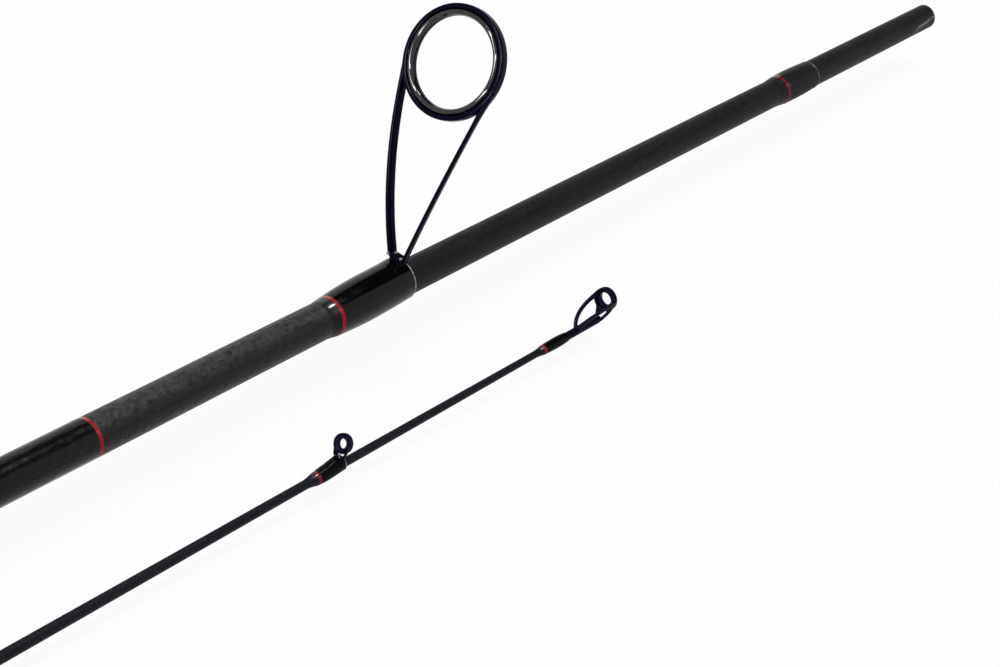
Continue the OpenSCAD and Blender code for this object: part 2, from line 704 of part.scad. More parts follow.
// Tip blank: the socket over the male end, then a long taper that is hollow for part of its length
module tip_blank() {
    mouth_r = butt_r(butt_len - socket_depth) + ferrule_fit;
    deep_r = butt_r(butt_len) + ferrule_fit;
    hollow_x = slim_x + hollow_len;
    outside = [for (s = tip_stations) [s[1] / 2, s[0]]];
    end_x = tip_len - nose_len - bond;
    color("#27252f") difference() {
        turned(concat([[0, 0]], [for (i = [0:len(outside) - 2]) outside[i]], [[tip_r(end_x), end_x], [0, end_x]]));
        turned([[0, -cut], [mouth_r, -cut], [mouth_r, 0], [deep_r, socket_depth],
                [tip_r(slim_x) - blank_wall, slim_x], [tip_r(hollow_x) - blank_wall, hollow_x], [0, hollow_x]]);
    }
}

module tip_ferrule_wrap()
    color("#2c2d30") plain_wrap(true, ferrule_wrap_len, ferrule_wrap_len, -1, ferrule_swell, ferrule_rise, 0.2);

module tip_ferrule_trim()
    color("#aa1c28") trim_band(true, ferrule_wrap_len, -1, ferrule_rise, ferrule_skirt, 2 * bond);

// Tube with the ring ahead of its end on two straps, and two braces that arch back from the ring's sides
module tip_top_frame() {
    wall = rim_small * (1 - ring_share);
    seat = top_od / 2 - wall;
    mid_r = top_od / 2 - wall / 2;
    foot_x = top_ring_x - brace_len;
    brace_z = top_h + brace_rise;
    strap_y = mid_r * cos(50);
    strap_z = top_h - mid_r * sin(50);
    color("#15161c") difference() {
        union() {
            turned(concat([[0, tube_x], [tube_r, tube_x]],
                          round_nose(tip_len - nose_len, tube_r, tip_len, tube_r / 2), [[0, tip_len]]));
            intersection() {
                seen_from_side(top_od) arc_band([foot_x, tube_r / 2], [top_ring_x, brace_z], brace_arch, brace_w);
                seen_from_handle(foot_x - brace_w, top_ring_x) for (side = [0, 1]) mirror([side, 0])
                    arc_band([mid_r, brace_z], [tube_r * 0.35, tube_r * 0.4], brace_bow, brace_t);
            }
            intersection() {
                seen_from_side(top_od)
                    arc_band([tip_len - 2 * nose_len, 0], [top_ring_x, strap_z], brace_bow, brace_w);
                seen_from_handle(tip_len - 3 * nose_len, top_ring_x + brace_w) for (side = [0, 1]) mirror([side, 0])
                    arc_band([strap_y, strap_z + wall / 2], [tube_r * 0.6, -tube_r / 4], brace_bow, brace_t);
            }
            at_ring(top_ring_x, top_h, top_tilt) collar(top_od / 2, wall, 0.58 * leg_w_small);
        }
        at_ring(top_ring_x, top_h, top_tilt) cylinder(h = 2 * leg_w_small, r = seat, center = true, $fn = fine);
        turned([[0, tube_x - cut], [tip_r(tube_x - cut) + bond, tube_x - cut],
                [tip_r(tip_len - nose_len) + bond, tip_len - nose_len], [0, tip_len - nose_len]]);
    }
}

module tip_top_ring()
    color("#26282c") at_ring(top_ring_x, top_h, top_tilt)
        ceramic(top_od / 2 - rim_small * (1 - ring_share), top_od / 2 - rim_small);

module tip_top_wrap()
    color("#23242a") difference() {
        plain_wrap(true, top_wrap_x, top_wrap_len, 1, top_swell, top_rise, 0.5);
        translate([tube_x, 0, 0]) rotate([0, 90, 0]) cylinder(h = tube_len, r = tube_r + bond, $fn = fine);
    }

module tip_top_trim() color("#aa1c28") trim_band(true, top_wrap_x, 1, top_rise, top_skirt, 2 * bond);

butt_blank();
butt_cap();
rear_grip();
rear_check();
seat_check();
seat_grip();
reel_seat();
fixed_hood();
seat_arbors();
fore_grip();
fore_check();
woven_sleeve();
sleeve_trim();
color("#15161c") guide_frame(stripper);  // stripper_frame
color("#26282c") guide_ring(stripper);  // stripper_ring
color("#2c2d30") guide_wrap(stripper);  // stripper_wrap
color("#aa1c28") guide_trim(stripper);  // stripper_trim
butt_ferrule_wrap();
butt_ferrule_trim();
moving_hood();
lock_nut();
lock_nut_ring();
on_tip_section() tip_blank();
on_tip_section() tip_ferrule_wrap();
on_tip_section() tip_ferrule_trim();
on_tip_section() tip_top_frame();
on_tip_section() tip_top_ring();
on_tip_section() tip_top_wrap();
on_tip_section() tip_top_trim();
for (i = [1:guide_count]) {
    on_tip_section() color("#15161c") guide_frame(guide(i));
    on_tip_section() color("#26282c") guide_ring(guide(i));
    on_tip_section() color("#23242a") guide_wrap(guide(i));
    on_tip_section() color("#aa1c28") guide_trim(guide(i));
}
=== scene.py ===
"""Looks of a two-piece spinning rod that lies taken apart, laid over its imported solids."""

import math

import bpy
import numpy as np
from mathutils import Matrix, Vector


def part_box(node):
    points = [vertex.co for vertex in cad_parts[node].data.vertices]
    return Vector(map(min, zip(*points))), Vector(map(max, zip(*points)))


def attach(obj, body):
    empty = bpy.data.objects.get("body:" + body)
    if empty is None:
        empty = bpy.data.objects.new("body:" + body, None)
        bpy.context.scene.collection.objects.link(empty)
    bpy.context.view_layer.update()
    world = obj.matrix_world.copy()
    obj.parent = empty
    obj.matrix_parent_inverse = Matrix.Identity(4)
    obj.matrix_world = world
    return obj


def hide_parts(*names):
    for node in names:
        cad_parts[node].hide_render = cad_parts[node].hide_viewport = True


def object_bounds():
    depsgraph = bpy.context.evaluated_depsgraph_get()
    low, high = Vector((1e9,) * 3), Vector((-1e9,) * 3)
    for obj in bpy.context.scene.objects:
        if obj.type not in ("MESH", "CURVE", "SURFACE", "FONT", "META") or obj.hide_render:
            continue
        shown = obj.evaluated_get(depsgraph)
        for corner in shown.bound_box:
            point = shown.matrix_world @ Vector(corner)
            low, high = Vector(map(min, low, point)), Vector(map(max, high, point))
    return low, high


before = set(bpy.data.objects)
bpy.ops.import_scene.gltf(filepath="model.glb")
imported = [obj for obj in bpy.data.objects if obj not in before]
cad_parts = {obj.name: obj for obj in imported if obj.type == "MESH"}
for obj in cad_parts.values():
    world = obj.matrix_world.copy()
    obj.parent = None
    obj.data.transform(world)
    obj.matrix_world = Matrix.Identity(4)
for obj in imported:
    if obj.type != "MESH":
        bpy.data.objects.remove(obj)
CAD_BOX = [list(corner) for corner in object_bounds()]

bl_info = {
    "name": "Spinning rod finishes",
    "version": (1, 0, 0),
    "blender": (4, 5, 0),
    "location": "3D View > Sidebar > Rod",
    "description": "Carbon, thread, resin and handle finishes for a two-piece spinning rod",
    "category": "Object",
}

# Where the two sections lie: the line of each blank, in metres
BUTT_LINE = (0.0, 0.0)
TIP_LINE = (-0.034, -0.008979)
GUIDES = [f"guide_{i}" for i in range(1, 7)]

# The butt blank's outside radius at the cap, and how much it falls for each metre along
BUTT_RADIUS = 0.00625
BUTT_TAPER = 0.00247

# The scuff at the male end: where it comes in and goes out along the rod, a point (x, z) on it, its slope
SCUFF_IN = (1.0025, 1.0045)
SCUFF_OUT = (1.0155, 1.0140)
SCUFF_POINT = (1.003, 0.0002)
SCUFF_SLOPE = 0.11

# The camera: its place in metres, the ways ahead and to its right, its lens and sensor in millimetres
CAMERA_PLACE = (0.3671, -0.3078, 0.3236)
CAMERA_AHEAD = (0.68644, 0.47325, -0.55206)
CAMERA_RIGHT = (0.6372, -0.7572, 0.1437)
CAMERA_LENS = 88.2
CAMERA_SENSOR = 36.0

# The way to the overhead light, and how wide it looks
LIGHT_WAY = (0.35, 0.0, 0.94)
LIGHT_ANGLE = math.radians(12)

# The bright panes that a mirror sees, each as the way to its middle and the way square to its strip
PANES = (
    ((-0.626, 0.141, 0.767), (0.445, 0.880, 0.164)),
    ((-0.778, -0.130, 0.615), (0.445, 0.592, 0.672)),
    ((-0.961, -0.242, 0.136), (0.162, -0.197, 0.967)),
)
PANE_STRENGTH = 26.0

# The floor's own white to the camera, the sky's light on the rod, the sky in a mirror, and what the dark
# card takes from that
FLOOR_GLOW = 0.91
SKY_LIGHT = 0.72
MIRROR_SKY = 0.95
CARD_DARK = 0.93


def section(place):
    """The body that a guide, wrap or trim rides on, and the line of its blank."""
    if place in ("sleeve", "stripper", "butt_ferrule"):
        return "butt_section", BUTT_LINE
    return "tip_section", TIP_LINE


def butt_radius(x):
    """The butt blank's outside radius: it falls evenly from the cap to the male end."""
    return BUTT_RADIUS - BUTT_TAPER * x


class RodSizes(bpy.types.PropertyGroup):
    """Sizes of the surface detail."""

    ridge_pitch: bpy.props.FloatProperty(
        name="Ridge pitch",
        description="Distance between the wound ridges along a blank",
        default=0.00095, unit="LENGTH", subtype="DISTANCE", precision=5)
    ridge_height: bpy.props.FloatProperty(
        name="Ridge height",
        description="Height of the wound ridges",
        default=0.00003, unit="LENGTH", subtype="DISTANCE", precision=6)
    tow: bpy.props.FloatProperty(
        name="Tow width",
        description="Width of one carbon tow in the woven cloth",
        default=0.00105, unit="LENGTH", subtype="DISTANCE", precision=5)
    tow_count: bpy.props.IntProperty(
        name="Tows around",
        description="Number of tows round the blank, a multiple of four so that the twill closes",
        default=28)
    coat_start: bpy.props.FloatProperty(
        name="Coat start",
        description="Where the glossy woven coat behind the sleeve starts, from the butt",
        default=0.47, unit="LENGTH", subtype="DISTANCE")
    coat_wall: bpy.props.FloatProperty(
        name="Coat wall",
        description="Thickness of the glossy woven coat",
        default=0.00022, unit="LENGTH", subtype="DISTANCE", precision=5)
    thread: bpy.props.FloatProperty(
        name="Thread",
        description="Thickness of the winding thread",
        default=0.00026, unit="LENGTH", subtype="DISTANCE", precision=5)
    resin_rim: bpy.props.FloatProperty(
        name="Resin rim",
        description="Thickness of the resin rim at the end of a wrap, from its middle",
        default=0.00014, unit="LENGTH", subtype="DISTANCE", precision=5)
    floor_drop: bpy.props.FloatProperty(
        name="Floor drop",
        description="Room between the lowest point of the rod and the floor",
        default=0.0001, unit="LENGTH", subtype="DISTANCE", precision=5)


def colour(name, description, value):
    """A colour that the user may change."""
    return bpy.props.FloatVectorProperty(
        name=name, description=description, default=value, subtype="COLOR", size=3, min=0, max=1)


class RodColours(bpy.types.PropertyGroup):
    """Colours of the finishes, in linear light."""

    butt_carbon: colour("Butt carbon", "Satin carbon of the butt blank", (0.0058, 0.0061, 0.0072))
    tip_carbon: colour("Tip carbon", "Satin carbon of the tip blank", (0.0040, 0.0040, 0.0080))
    # Warp and weft are the same carbon: their two tones are painted light, the way each set of tows
    # catches the light.
    warp: colour("Warp tow", "Woven tows that run along the rod", (0.0030, 0.0032, 0.0038))
    weft: colour("Weft tow", "Woven tows that run round the rod", (0.0050, 0.0052, 0.0060))
    wrap: colour("Wrap thread", "Black thread under the resin", (0.0022, 0.0022, 0.0027))
    trim: colour("Trim thread", "Red thread of the trim bands", (0.36, 0.004, 0.012))
    # The resin tones below are painted highlights: the light caught by the resin rims at the wraps' ends
    # and by the drops at the guides' roots.
    resin: colour("Bare resin", "Resin where no thread shows through it", (0.62, 0.58, 0.46))
    ferrule_rim_glint: colour("Ferrule resin", "Resin at the ferrule wrap's end", (0.10, 0.095, 0.11))
    scuff: colour("Scuffs", "Rubbed carbon at the male end", (0.30, 0.26, 0.28))
    # Painted highlight: the lighter tone on the sleeve's upper side stands in for the overhead light's
    # sheen.
    painted_sheen: colour("Sleeve bloom", "Worn tone on the sleeve's upper side", (0.048, 0.049, 0.050))
    guide: colour("Guide frame", "Coated metal of the guide frames", (0.0005, 0.0003, 0.0075))
    ceramic: colour("Guide ring", "Polished ceramic of the rings", (0.003, 0.003, 0.005))
    dark_ceramic: colour("Tip ceramic", "Ceramic of the tip section's rings", (0.0030, 0.0010, 0.020))
    foam: colour("Grip foam", "Foam of the three grips", (0.017, 0.017, 0.018))
    rubber: colour("Cap rubber", "Rubber of the butt cap", (0.012, 0.012, 0.0125))
    barrel: colour("Reel seat", "Moulded plastic of the reel seat", (0.011, 0.011, 0.012))
    hood: colour("Hoods", "Dark metal of the two hoods", (0.11, 0.11, 0.118))
    red_metal: colour("Red rings", "Red anodised metal of the rings", (0.36, 0.008, 0.016))
    arbor: colour("Arbors", "Paper tape inside the reel seat", (0.46, 0.37, 0.24))


class Wire:
    """A node's output. An expression on it adds the Math nodes that work it out."""

    def __init__(self, net, socket):
        self.net = net
        self.socket = socket

    def __add__(self, other):
        return self.net.math("ADD", self, other)

    def __radd__(self, other):
        return self.net.math("ADD", other, self)

    def __sub__(self, other):
        return self.net.math("SUBTRACT", self, other)

    def __rsub__(self, other):
        return self.net.math("SUBTRACT", other, self)

    def __mul__(self, other):
        return self.net.math("MULTIPLY", self, other)

    def __rmul__(self, other):
        return self.net.math("MULTIPLY", other, self)

    def __truediv__(self, other):
        return self.net.math("DIVIDE", self, other)

    def __rtruediv__(self, other):
        return self.net.math("DIVIDE", other, self)

    def __pow__(self, other):
        return self.net.math("POWER", self, other)

    def __mod__(self, other):
        return self.net.math("FLOORED_MODULO", self, other)

    def __lt__(self, other):
        return self.net.math("LESS_THAN", self, other)

    def __gt__(self, other):
        return self.net.math("GREATER_THAN", self, other)

    def floor(self):
        return self.net.math("FLOOR", self)

    def sine(self):
        return self.net.math("SINE", self)

    def size(self):
        return self.net.math("ABSOLUTE", self)

    def rise(self, low, high):
        """0 below low, 1 above high, with a smooth step between; a low above high turns it round."""
        return self.net.make(
            "ShaderNodeMapRange", {"interpolation_type": "SMOOTHSTEP"},
            {"Value": self, "From Min": low, "From Max": high})


class Net:
    """A node tree that is built by expressions."""

    def __init__(self, tree):
        self.tree = tree
        tree.nodes.clear()

    def make(self, kind, settings=None, sockets=None, out=0):
        """Adds a node: its settings first, then the values or links of its sockets. Gives the output that
        out says, or several where it names them."""
        node = self.tree.nodes.new(kind)
        for name, value in (settings or {}).items():
            setattr(node, name, value)
        for name, value in (sockets or {}).items():
            socket = node.inputs[name]
            if isinstance(value, Wire):
                self.tree.links.new(value.socket, socket)
            elif socket.type == "RGBA":
                socket.default_value = (*value, 1.0)
            else:
                socket.default_value = value
        if isinstance(out, tuple):
            return [Wire(self, node.outputs[name]) for name in out]
        return Wire(self, node.outputs[out]) if node.outputs else None

    def math(self, operation, a, b=None):
        sockets = {0: a} if b is None else {0: a, 1: b}
        return self.make("ShaderNodeMath", {"operation": operation}, sockets)

    def blend(self, share, a, b):
        """Colour a where share is 0 and colour b where it is 1."""
        return self.make("ShaderNodeMix", {"data_type": "RGBA"}, {0: share, 6: a, 7: b}, out=2)

    def pack(self, x, y, z):
        return self.make("ShaderNodeCombineXYZ", {}, {0: x, 1: y, 2: z})

    def split(self, place):
        """The three coordinates of a place."""
        return self.make("ShaderNodeSeparateXYZ", {}, {0: place}, out=("X", "Y", "Z"))

    def rays(self):
        """Whether a ray comes from the camera, from a mirror or through glass, each 0 or 1."""
        names = ("Is Camera Ray", "Is Glossy Ray", "Is Transmission Ray")
        return self.make("ShaderNodeLightPath", out=names)

    def noise(self, place, scale, detail=2.0, rough=0.5):
        return self.make(
            "ShaderNodeTexNoise", {},
            {"Vector": place, "Scale": scale, "Detail": detail, "Roughness": rough})

    def cells(self, place, scale):
        return self.make("ShaderNodeTexVoronoi", {}, {"Vector": place, "Scale": scale})

    def bump(self, height, distance):
        return self.make(
            "ShaderNodeBump", {}, {"Height": height, "Distance": distance, "Strength": 1.0})


class Finish(Net):
    """A material whose patterns follow the rod: x runs along it, y and z are measured from its line, and
    turn goes from 0 to 1 round it."""

    def __init__(self, name, line=BUTT_LINE):
        self.material = bpy.data.materials.new(name)
        self.material.use_nodes = True
        super().__init__(self.material.node_tree)
        self.place = self.make("ShaderNodeTexCoord", out="Object")
        self.x, across, up = self.split(self.place)
        self.y = across - line[0]
        self.z = up - line[1]
        self.turn = self.math("ARCTAN2", self.z, self.y) / (2 * math.pi) + 0.5

    def stretched(self, along, around):
        """A place to read noise at, drawn out along the rod and closed round it."""
        return self.pack(self.x * along, self.y * around, self.z * around)

    def surface(self, varied, fixed):
        """Ends the tree in one shader: varied sockets are linked, fixed ones are set."""
        shader = self.make("ShaderNodeBsdfPrincipled", {}, {**fixed, **varied})
        self.make("ShaderNodeOutputMaterial", {}, {0: shader})
        return self.material


def shade(value, times):
    """A colour made darker or lighter."""
    return tuple(min(1.0, channel * times) for channel in value)


def dress(material, *nodes):
    """Puts a finish on CAD nodes."""
    for name in nodes:
        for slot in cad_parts[name].material_slots:
            slot.material = material


class Shell:
    """A mesh piece made of grids of points. A grid has the shape (rows, columns, 3), and its outside is
    where the columns' way crossed with the rows' way points."""

    def __init__(self):
        self.points = []
        self.faces = []
        self.count = 0

    def number(self, points):
        """Takes in corners and gives their numbers."""
        first = self.count
        self.points.append(points.reshape(-1, 3))
        self.count += len(self.points[-1])
        return np.arange(first, self.count)

    def add(self, grid, loop=True):
        """A grid whose columns join up. With loop its rows join up too, as on a hoop; otherwise a fan
        closes either end, as on a bar."""
        rows, columns = grid.shape[:2]
        index = self.number(grid).reshape(rows, columns)
        down = np.roll(index, -1, 0)
        quads = np.stack([index, np.roll(index, -1, 1), np.roll(down, -1, 1), down], -1)
        if loop:
            self.faces += quads.reshape(-1, 4).tolist()
            return self
        self.faces += quads[:-1].reshape(-1, 4).tolist()
        start, end = self.number(grid[[0, -1]].mean(1))
        near, far = index[0], index[-1]
        self.faces += np.stack([np.full(columns, start), np.roll(near, -1), near], -1).tolist()
        self.faces += np.stack([np.full(columns, end), far, np.roll(far, -1)], -1).tolist()
        return self

    def piece(self, name, material, body, slot):
        """The finished mesh, at the origin, riding on a body."""
        mesh = bpy.data.meshes.new(name)
        mesh.from_pydata(np.concatenate(self.points).tolist(), [], self.faces)
        mesh.polygons.foreach_set("use_smooth", np.ones(len(mesh.polygons), bool))
        mesh.materials.append(material)
        mesh.update()
        made = bpy.data.objects.new(name, mesh)
        bpy.context.scene.collection.objects.link(made)
        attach(made, body)
        return made


def round_square(power, count):
    """Outline of a rounded square: cosine and sine to the power of 2 / power, with their signs kept."""
    angle = np.linspace(0, 2 * np.pi, count, endpoint=False)
    flat = np.stack([np.cos(angle), np.sin(angle)])
    return np.sign(flat) * np.abs(flat) ** (2 / power)


def unit(ways):
    """The same directions, each of length 1."""
    return ways / np.linalg.norm(ways, axis=-1, keepdims=True)


def swept(path, wide, thick, across, power=3.2, sides=20):
    """Grid of a rounded bar carried along a path: at each point a rounded square of half sizes wide and
    thick, with its width along the part of across that is square to the path."""
    run = unit(np.gradient(path, axis=0))
    side = unit(across - (across * run).sum(-1, keepdims=True) * run)
    face = np.cross(run, side)
    x, y = round_square(power, sides)
    wide = np.broadcast_to(wide, len(path))[:, None, None]
    thick = np.broadcast_to(thick, len(path))[:, None, None]
    return path[:, None] + wide * x[:, None] * side[:, None] + thick * y[:, None] * face[:, None]


def hooped(centre, tilt, radius, radial, axial, power=4.0, turns=160, sides=28):
    """Grid of a rounded band bent to a hoop: a rounded square of half sizes radial and axial, carried
    round a circle whose axis leans down from the rod's way by tilt."""
    along = np.array([math.cos(tilt), 0.0, -math.sin(tilt)])
    upright = np.array([math.sin(tilt), 0.0, math.cos(tilt)])
    angle = np.linspace(0, 2 * np.pi, turns, endpoint=False)[:, None, None]
    spoke = np.cos(angle) * np.array([0.0, 1.0, 0.0]) + np.sin(angle) * upright
    out, on = round_square(power, sides)[:, ::-1, None]
    return centre + (radius + radial * out) * spoke + axial * on * along


def cubic(points, rows):
    """A cubic curve from the first of four points to the last; the others give its end directions."""
    t = np.linspace(0, 1, rows)[:, None]
    a, b, c, d = np.asarray(points)
    return a * (1 - t) ** 3 + 3 * b * t * (1 - t) ** 2 + 3 * c * t ** 2 * (1 - t) + d * t ** 3


class Guide:
    """One guide's sizes. Its ring's place and its collar come from its CAD nodes, and a share from 0 at
    the smallest guide to 1 at the stripper gives what the guides between have."""

    TILT = math.radians(25.5)
    LEAN = math.tan(math.radians(11))
    # Radius over the smallest guide's collar, how much more the stripper has, and both guides' heights
    SMALLEST = 0.0024
    GROWTH = 0.0115
    LOW = 0.0047
    TALL = 0.0535
    # How far under the ring's centre the legs meet the collar, as a share of its radius, and the legs'
    # bow across and along the rod, as a share of their length
    MEET = 0.126
    BOW_ACROSS = 0.072
    BOW_ALONG = 0.228
    # Where drops of resin stand at the stripper's root: ahead, aside and up, in millimetres. Their light
    # tone is a painted highlight, the sparkles at the legs' roots.
    DROPS = ((-1.2, 2.5, 0.7), (0.0, 1.1, 0.9), (-0.9, -1.4, 0.7))

    def __init__(self, place):
        low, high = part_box(f"{place}_frame")
        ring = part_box(f"{place}_ring")
        self.place = place
        self.body, self.line = section(place)
        self.outer = (high.y - low.y) / 2
        self.share = (self.outer - self.SMALLEST) / self.GROWTH
        self.height = self.TALL
        if place != "stripper":
            self.height = self.LOW * (self.outer / self.SMALLEST) ** 1.5
        self.centre = np.array((ring[0] + ring[1]) / 2)
        self.root = self.centre - np.array([self.height * self.LEAN, 0.0, self.height])
        self.centre[2] += self.between(0.0002, 0.0)
        # The collar's and the ring's radii, the legs' strip, and the heights at their root
        self.rim = self.between(0.00113, 0.0029)
        self.seat = self.outer - 0.45 * self.rim
        self.bore = self.outer - self.between(1.15, 1.0) * self.rim
        self.wide = self.between(0.0011, 0.00235)
        self.thick = self.between(0.0006, 0.00112)
        self.mound = self.between(0.0016, 0.0030)
        self.bend = self.mound + self.between(0.0, 0.0003)
        self.crown = self.between(0.0016, 0.0022)

    def between(self, small, big):
        """A size that grows evenly from the smallest guide to the stripper."""
        return small + (big - small) * self.share

    def aside(self, up):
        """How far a leg stands from the middle at a height: a straight line from root to collar, with an
        arc's bow."""
        r = self.outer - 0.225 * self.rim
        low = np.array([self.between(0.0005, 0.0007), -self.between(0.0005, 0.001)])
        top = np.array([r * 0.99 - 0.0003, self.height - r * self.MEET])
        t = (up - low[1]) / (top[1] - low[1])
        bow = self.BOW_ACROSS * np.linalg.norm(top - low)
        return low[0] + (top[0] - low[0]) * t + bow * t * (1 - t)

    def ahead(self, up):
        """How far a leg leans forward at a height: a straight line less an arc's bow."""
        low = -self.between(0.0007, 0.0014)
        t = (up - low) / (self.height - low)
        reach = self.height * self.LEAN
        return reach * t - self.BOW_ALONG * math.hypot(self.height, reach) * t * (1 - t)

    def legs(self):
        """Both legs as one bent strip: down one, round a corner, across the root and up the other."""
        top = self.height - self.MEET * self.outer
        corner = self.between(0.0004, 0.0008)
        low = self.bend
        turn = np.linspace(0, np.pi / 2, 10)
        up = np.linspace(top, low + corner, 70)
        side = self.aside(up)
        bend = side[-1] - corner * (1 - np.cos(turn[1:]))
        y = np.concatenate([side, bend, (side[-1] - corner) * np.linspace(1, 0, 6)[1:]])
        z = np.concatenate([up, low + corner * (1 - np.sin(turn[1:])), np.full(5, low)])
        y = np.concatenate([y, -y[-2::-1]])
        z = np.concatenate([z, z[-2::-1]])
        path = self.root + np.stack([self.ahead(z), y, z], -1)
        twist = math.radians(15) * np.clip(y / self.between(0.0007, 0.0018), -1, 1)
        across = np.stack([np.cos(twist), -np.sin(twist), 0 * twist], -1)
        flare = np.clip((z / top - 0.82) / 0.18, 0, 1) ** 2
        wide = self.wide / 2 * (1.06 - 0.1 * z / top + 0.2 * flare)
        return swept(path, wide, self.thick / 2 * (1 + 0.9 * flare), across)

    def collar(self):
        """The band round the ring: a hoop from the seat's radius to the outer one."""
        half = (self.outer - self.seat) / 2
        return hooped(self.centre, self.TILT, self.seat + half, half, 0.55 * self.wide, 4.5)

    def ring(self):
        """The ceramic in the collar: a hoop with a round lip from the bore's radius to the seat's."""
        half = (self.seat - self.bore) / 2
        lip = self.between(2.0, 1.8) * half
        return hooped(self.centre, self.TILT, self.bore + half, half + 0.00002, lip, 2.3)

    def fillet(self):
        """Glaze built up over the foot: a round bar inside the wrap whose middle line climbs straight
        up and to one side, so that it leaves the wrap and ends in a round nose at the legs' root."""
        blank = self.root[2] - self.line[1]
        radius = blank + self.between(0.00055, 0.0006)
        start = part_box(f"{self.place}_wrap")[0].x + self.between(0.0012, 0.0035)
        end = self.root[0] + 0.0001
        climb = np.linspace(0, 1, 40)
        bend = np.linspace(0, 1.4, 12)[1:]
        nose = end + self.between(0.0007, 0.0012) * np.sin(bend)
        x = np.concatenate([start + (end - start) * climb, nose])
        r = radius * np.concatenate([np.ones_like(climb), np.cos(bend) ** 0.5])[:, None]
        rise = np.concatenate([climb, np.ones_like(bend)])[:, None]
        angle = np.linspace(0, 2 * np.pi, 64, endpoint=False)
        y = self.line[0] + 0.0003 * rise + r * np.cos(angle)
        z = self.line[1] + 0.0002 + (blank + self.crown - radius - 0.0002) * rise + r * np.sin(angle)
        return np.stack([np.repeat(x[:, None], 64, 1), y, z], -1)

    def web(self):
        """The plate between the legs' roots: a flat bar across, from inside the crown up to the bend."""
        high = self.bend
        low = self.crown - self.between(0.0006, 0.0014)
        side = self.aside(high) - self.between(0.0, 0.0001)
        y = np.linspace(-side, side, 8)
        path = self.root + np.stack([0 * y + self.ahead(high), y, 0 * y + (low + high) / 2], -1)
        return swept(path, 0.5 * self.wide, (high - low) / 2, np.array([1.0, 0.0, 0.0]), 5.0)

    def drop(self, spot, size):
        """A drop of resin at a leg's root: a small ball."""
        turn = np.linspace(math.pi - 0.1, 0.1, 14)[:, None]
        angle = np.linspace(0, 2 * np.pi, 20, endpoint=False)
        ring = np.sin(turn)
        ball = np.stack([np.cos(turn) + 0 * angle, ring * np.cos(angle), ring * np.sin(angle)], -1)
        return self.root + spot + size * ball


def wrap_end(node, line):
    """The edge circle at a wrap's tip end, as centre, radius and lean: the wrap climbs over the foot, so
    the circle's middle lies above the line, and its lowest point just touches the blank."""
    low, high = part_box(node)
    points = node_points(node)
    last = points[points[:, 0] > high.x - 0.0004]
    radius = float(np.abs(last[:, 1] - line[0]).max())
    lift = float(last[:, 2].min()) + radius - line[1]
    lean = lift / (high.x - low.x)
    return np.array([high.x - lean * radius, line[0], line[1] + lift]), radius, lean


def turned(profile, line, sides=96):
    """Grid of a profile turned round the rod: row i is profile point (x, r), column j is at angle j."""
    angle = np.linspace(0, 2 * np.pi, sides, endpoint=False)
    x = np.repeat(profile[:, :1], sides, 1)
    y = line[0] + profile[:, 1:] * np.cos(angle)
    z = line[1] + profile[:, 1:] * np.sin(angle)
    return np.stack([x, y, z], -1)


def node_points(node):
    """A CAD node's corners as one array."""
    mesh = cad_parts[node].data
    flat = np.empty(len(mesh.vertices) * 3)
    mesh.vertices.foreach_get("co", flat)
    return flat.reshape(-1, 3)


def twill(along, around):
    """Two-by-two twill on a grid of tows. At crossing (i, j) the warp lies on top where (i + j) mod 4
    is under 2. The height is a half sine across the upper tow, lowered towards its float's ends by
    another half sine."""
    step = (along.floor() + around.floor()) % 4.0
    over = step < 2.0
    across_warp = (around % 1.0 * math.pi).sine()
    across_weft = (along % 1.0 * math.pi).sine()
    warp_run = ((step + along % 1.0) * (math.pi / 2)).sine().size()
    weft_run = ((step + around % 1.0) * (math.pi / 2)).sine().size()
    warp = across_warp * (0.55 + 0.45 * warp_run)
    weft = across_weft * (0.55 + 0.45 * weft_run)
    height = over * warp + (1.0 - over) * weft
    return height, over


def carbon(name, base, line, scuffs):
    """Satin wound carbon: one fine ridge winds along the blank, with faint streaks, and the male end
    may be scuffed."""
    sizes = bpy.context.scene.rod_sizes
    colours = bpy.context.scene.rod_colours
    net = Finish(name, line)
    wind = net.x / sizes.ridge_pitch + net.turn
    ridge = (wind * (2 * math.pi)).sine() * 0.5 + 0.5
    streak = net.noise(net.stretched(60.0, 500.0), 1.0, 3.0)
    grain = net.noise(net.place, 3200.0, 2.0)
    tone = net.blend(streak.rise(0.3, 0.75), shade(base, 0.75), shade(base, 1.4))
    lane = net.noise(net.stretched(900.0, 260.0), 1.0, 3.0).rise(0.35, 0.7)
    ridge = ridge * (0.3 + 0.7 * lane)
    # Lighter on the crests of the wound ridge: a painted highlight.
    tone = net.blend(ridge ** 3.0 * 0.22, tone, shade(base, 2.2))
    rough = 0.40 + 0.16 * grain + 0.06 * streak
    if scuffs:
        worn = net.noise(net.stretched(420.0, 900.0), 1.0, 4.0, 0.6)
        stretch = net.x.rise(*SCUFF_IN) * net.x.rise(*SCUFF_OUT) * net.y.rise(-0.001, -0.0016)
        start, level = SCUFF_POINT
        aside = (net.z - level - SCUFF_SLOPE * (net.x - start)).size()
        mark = worn.rise(0.38, 0.62) * stretch * aside.rise(0.0009, 0.0003)
        tone = net.blend(mark * 0.6, tone, colours.scuff)
        rough = rough + 0.2 * mark
    height = ridge * 0.8 + grain * 0.25 if scuffs else ridge * 0.4 + grain * 0.04
    return net.surface(
        {"Base Color": tone, "Roughness": rough, "Normal": net.bump(height, sizes.ridge_height)},
        {"Specular IOR Level": 0.11})


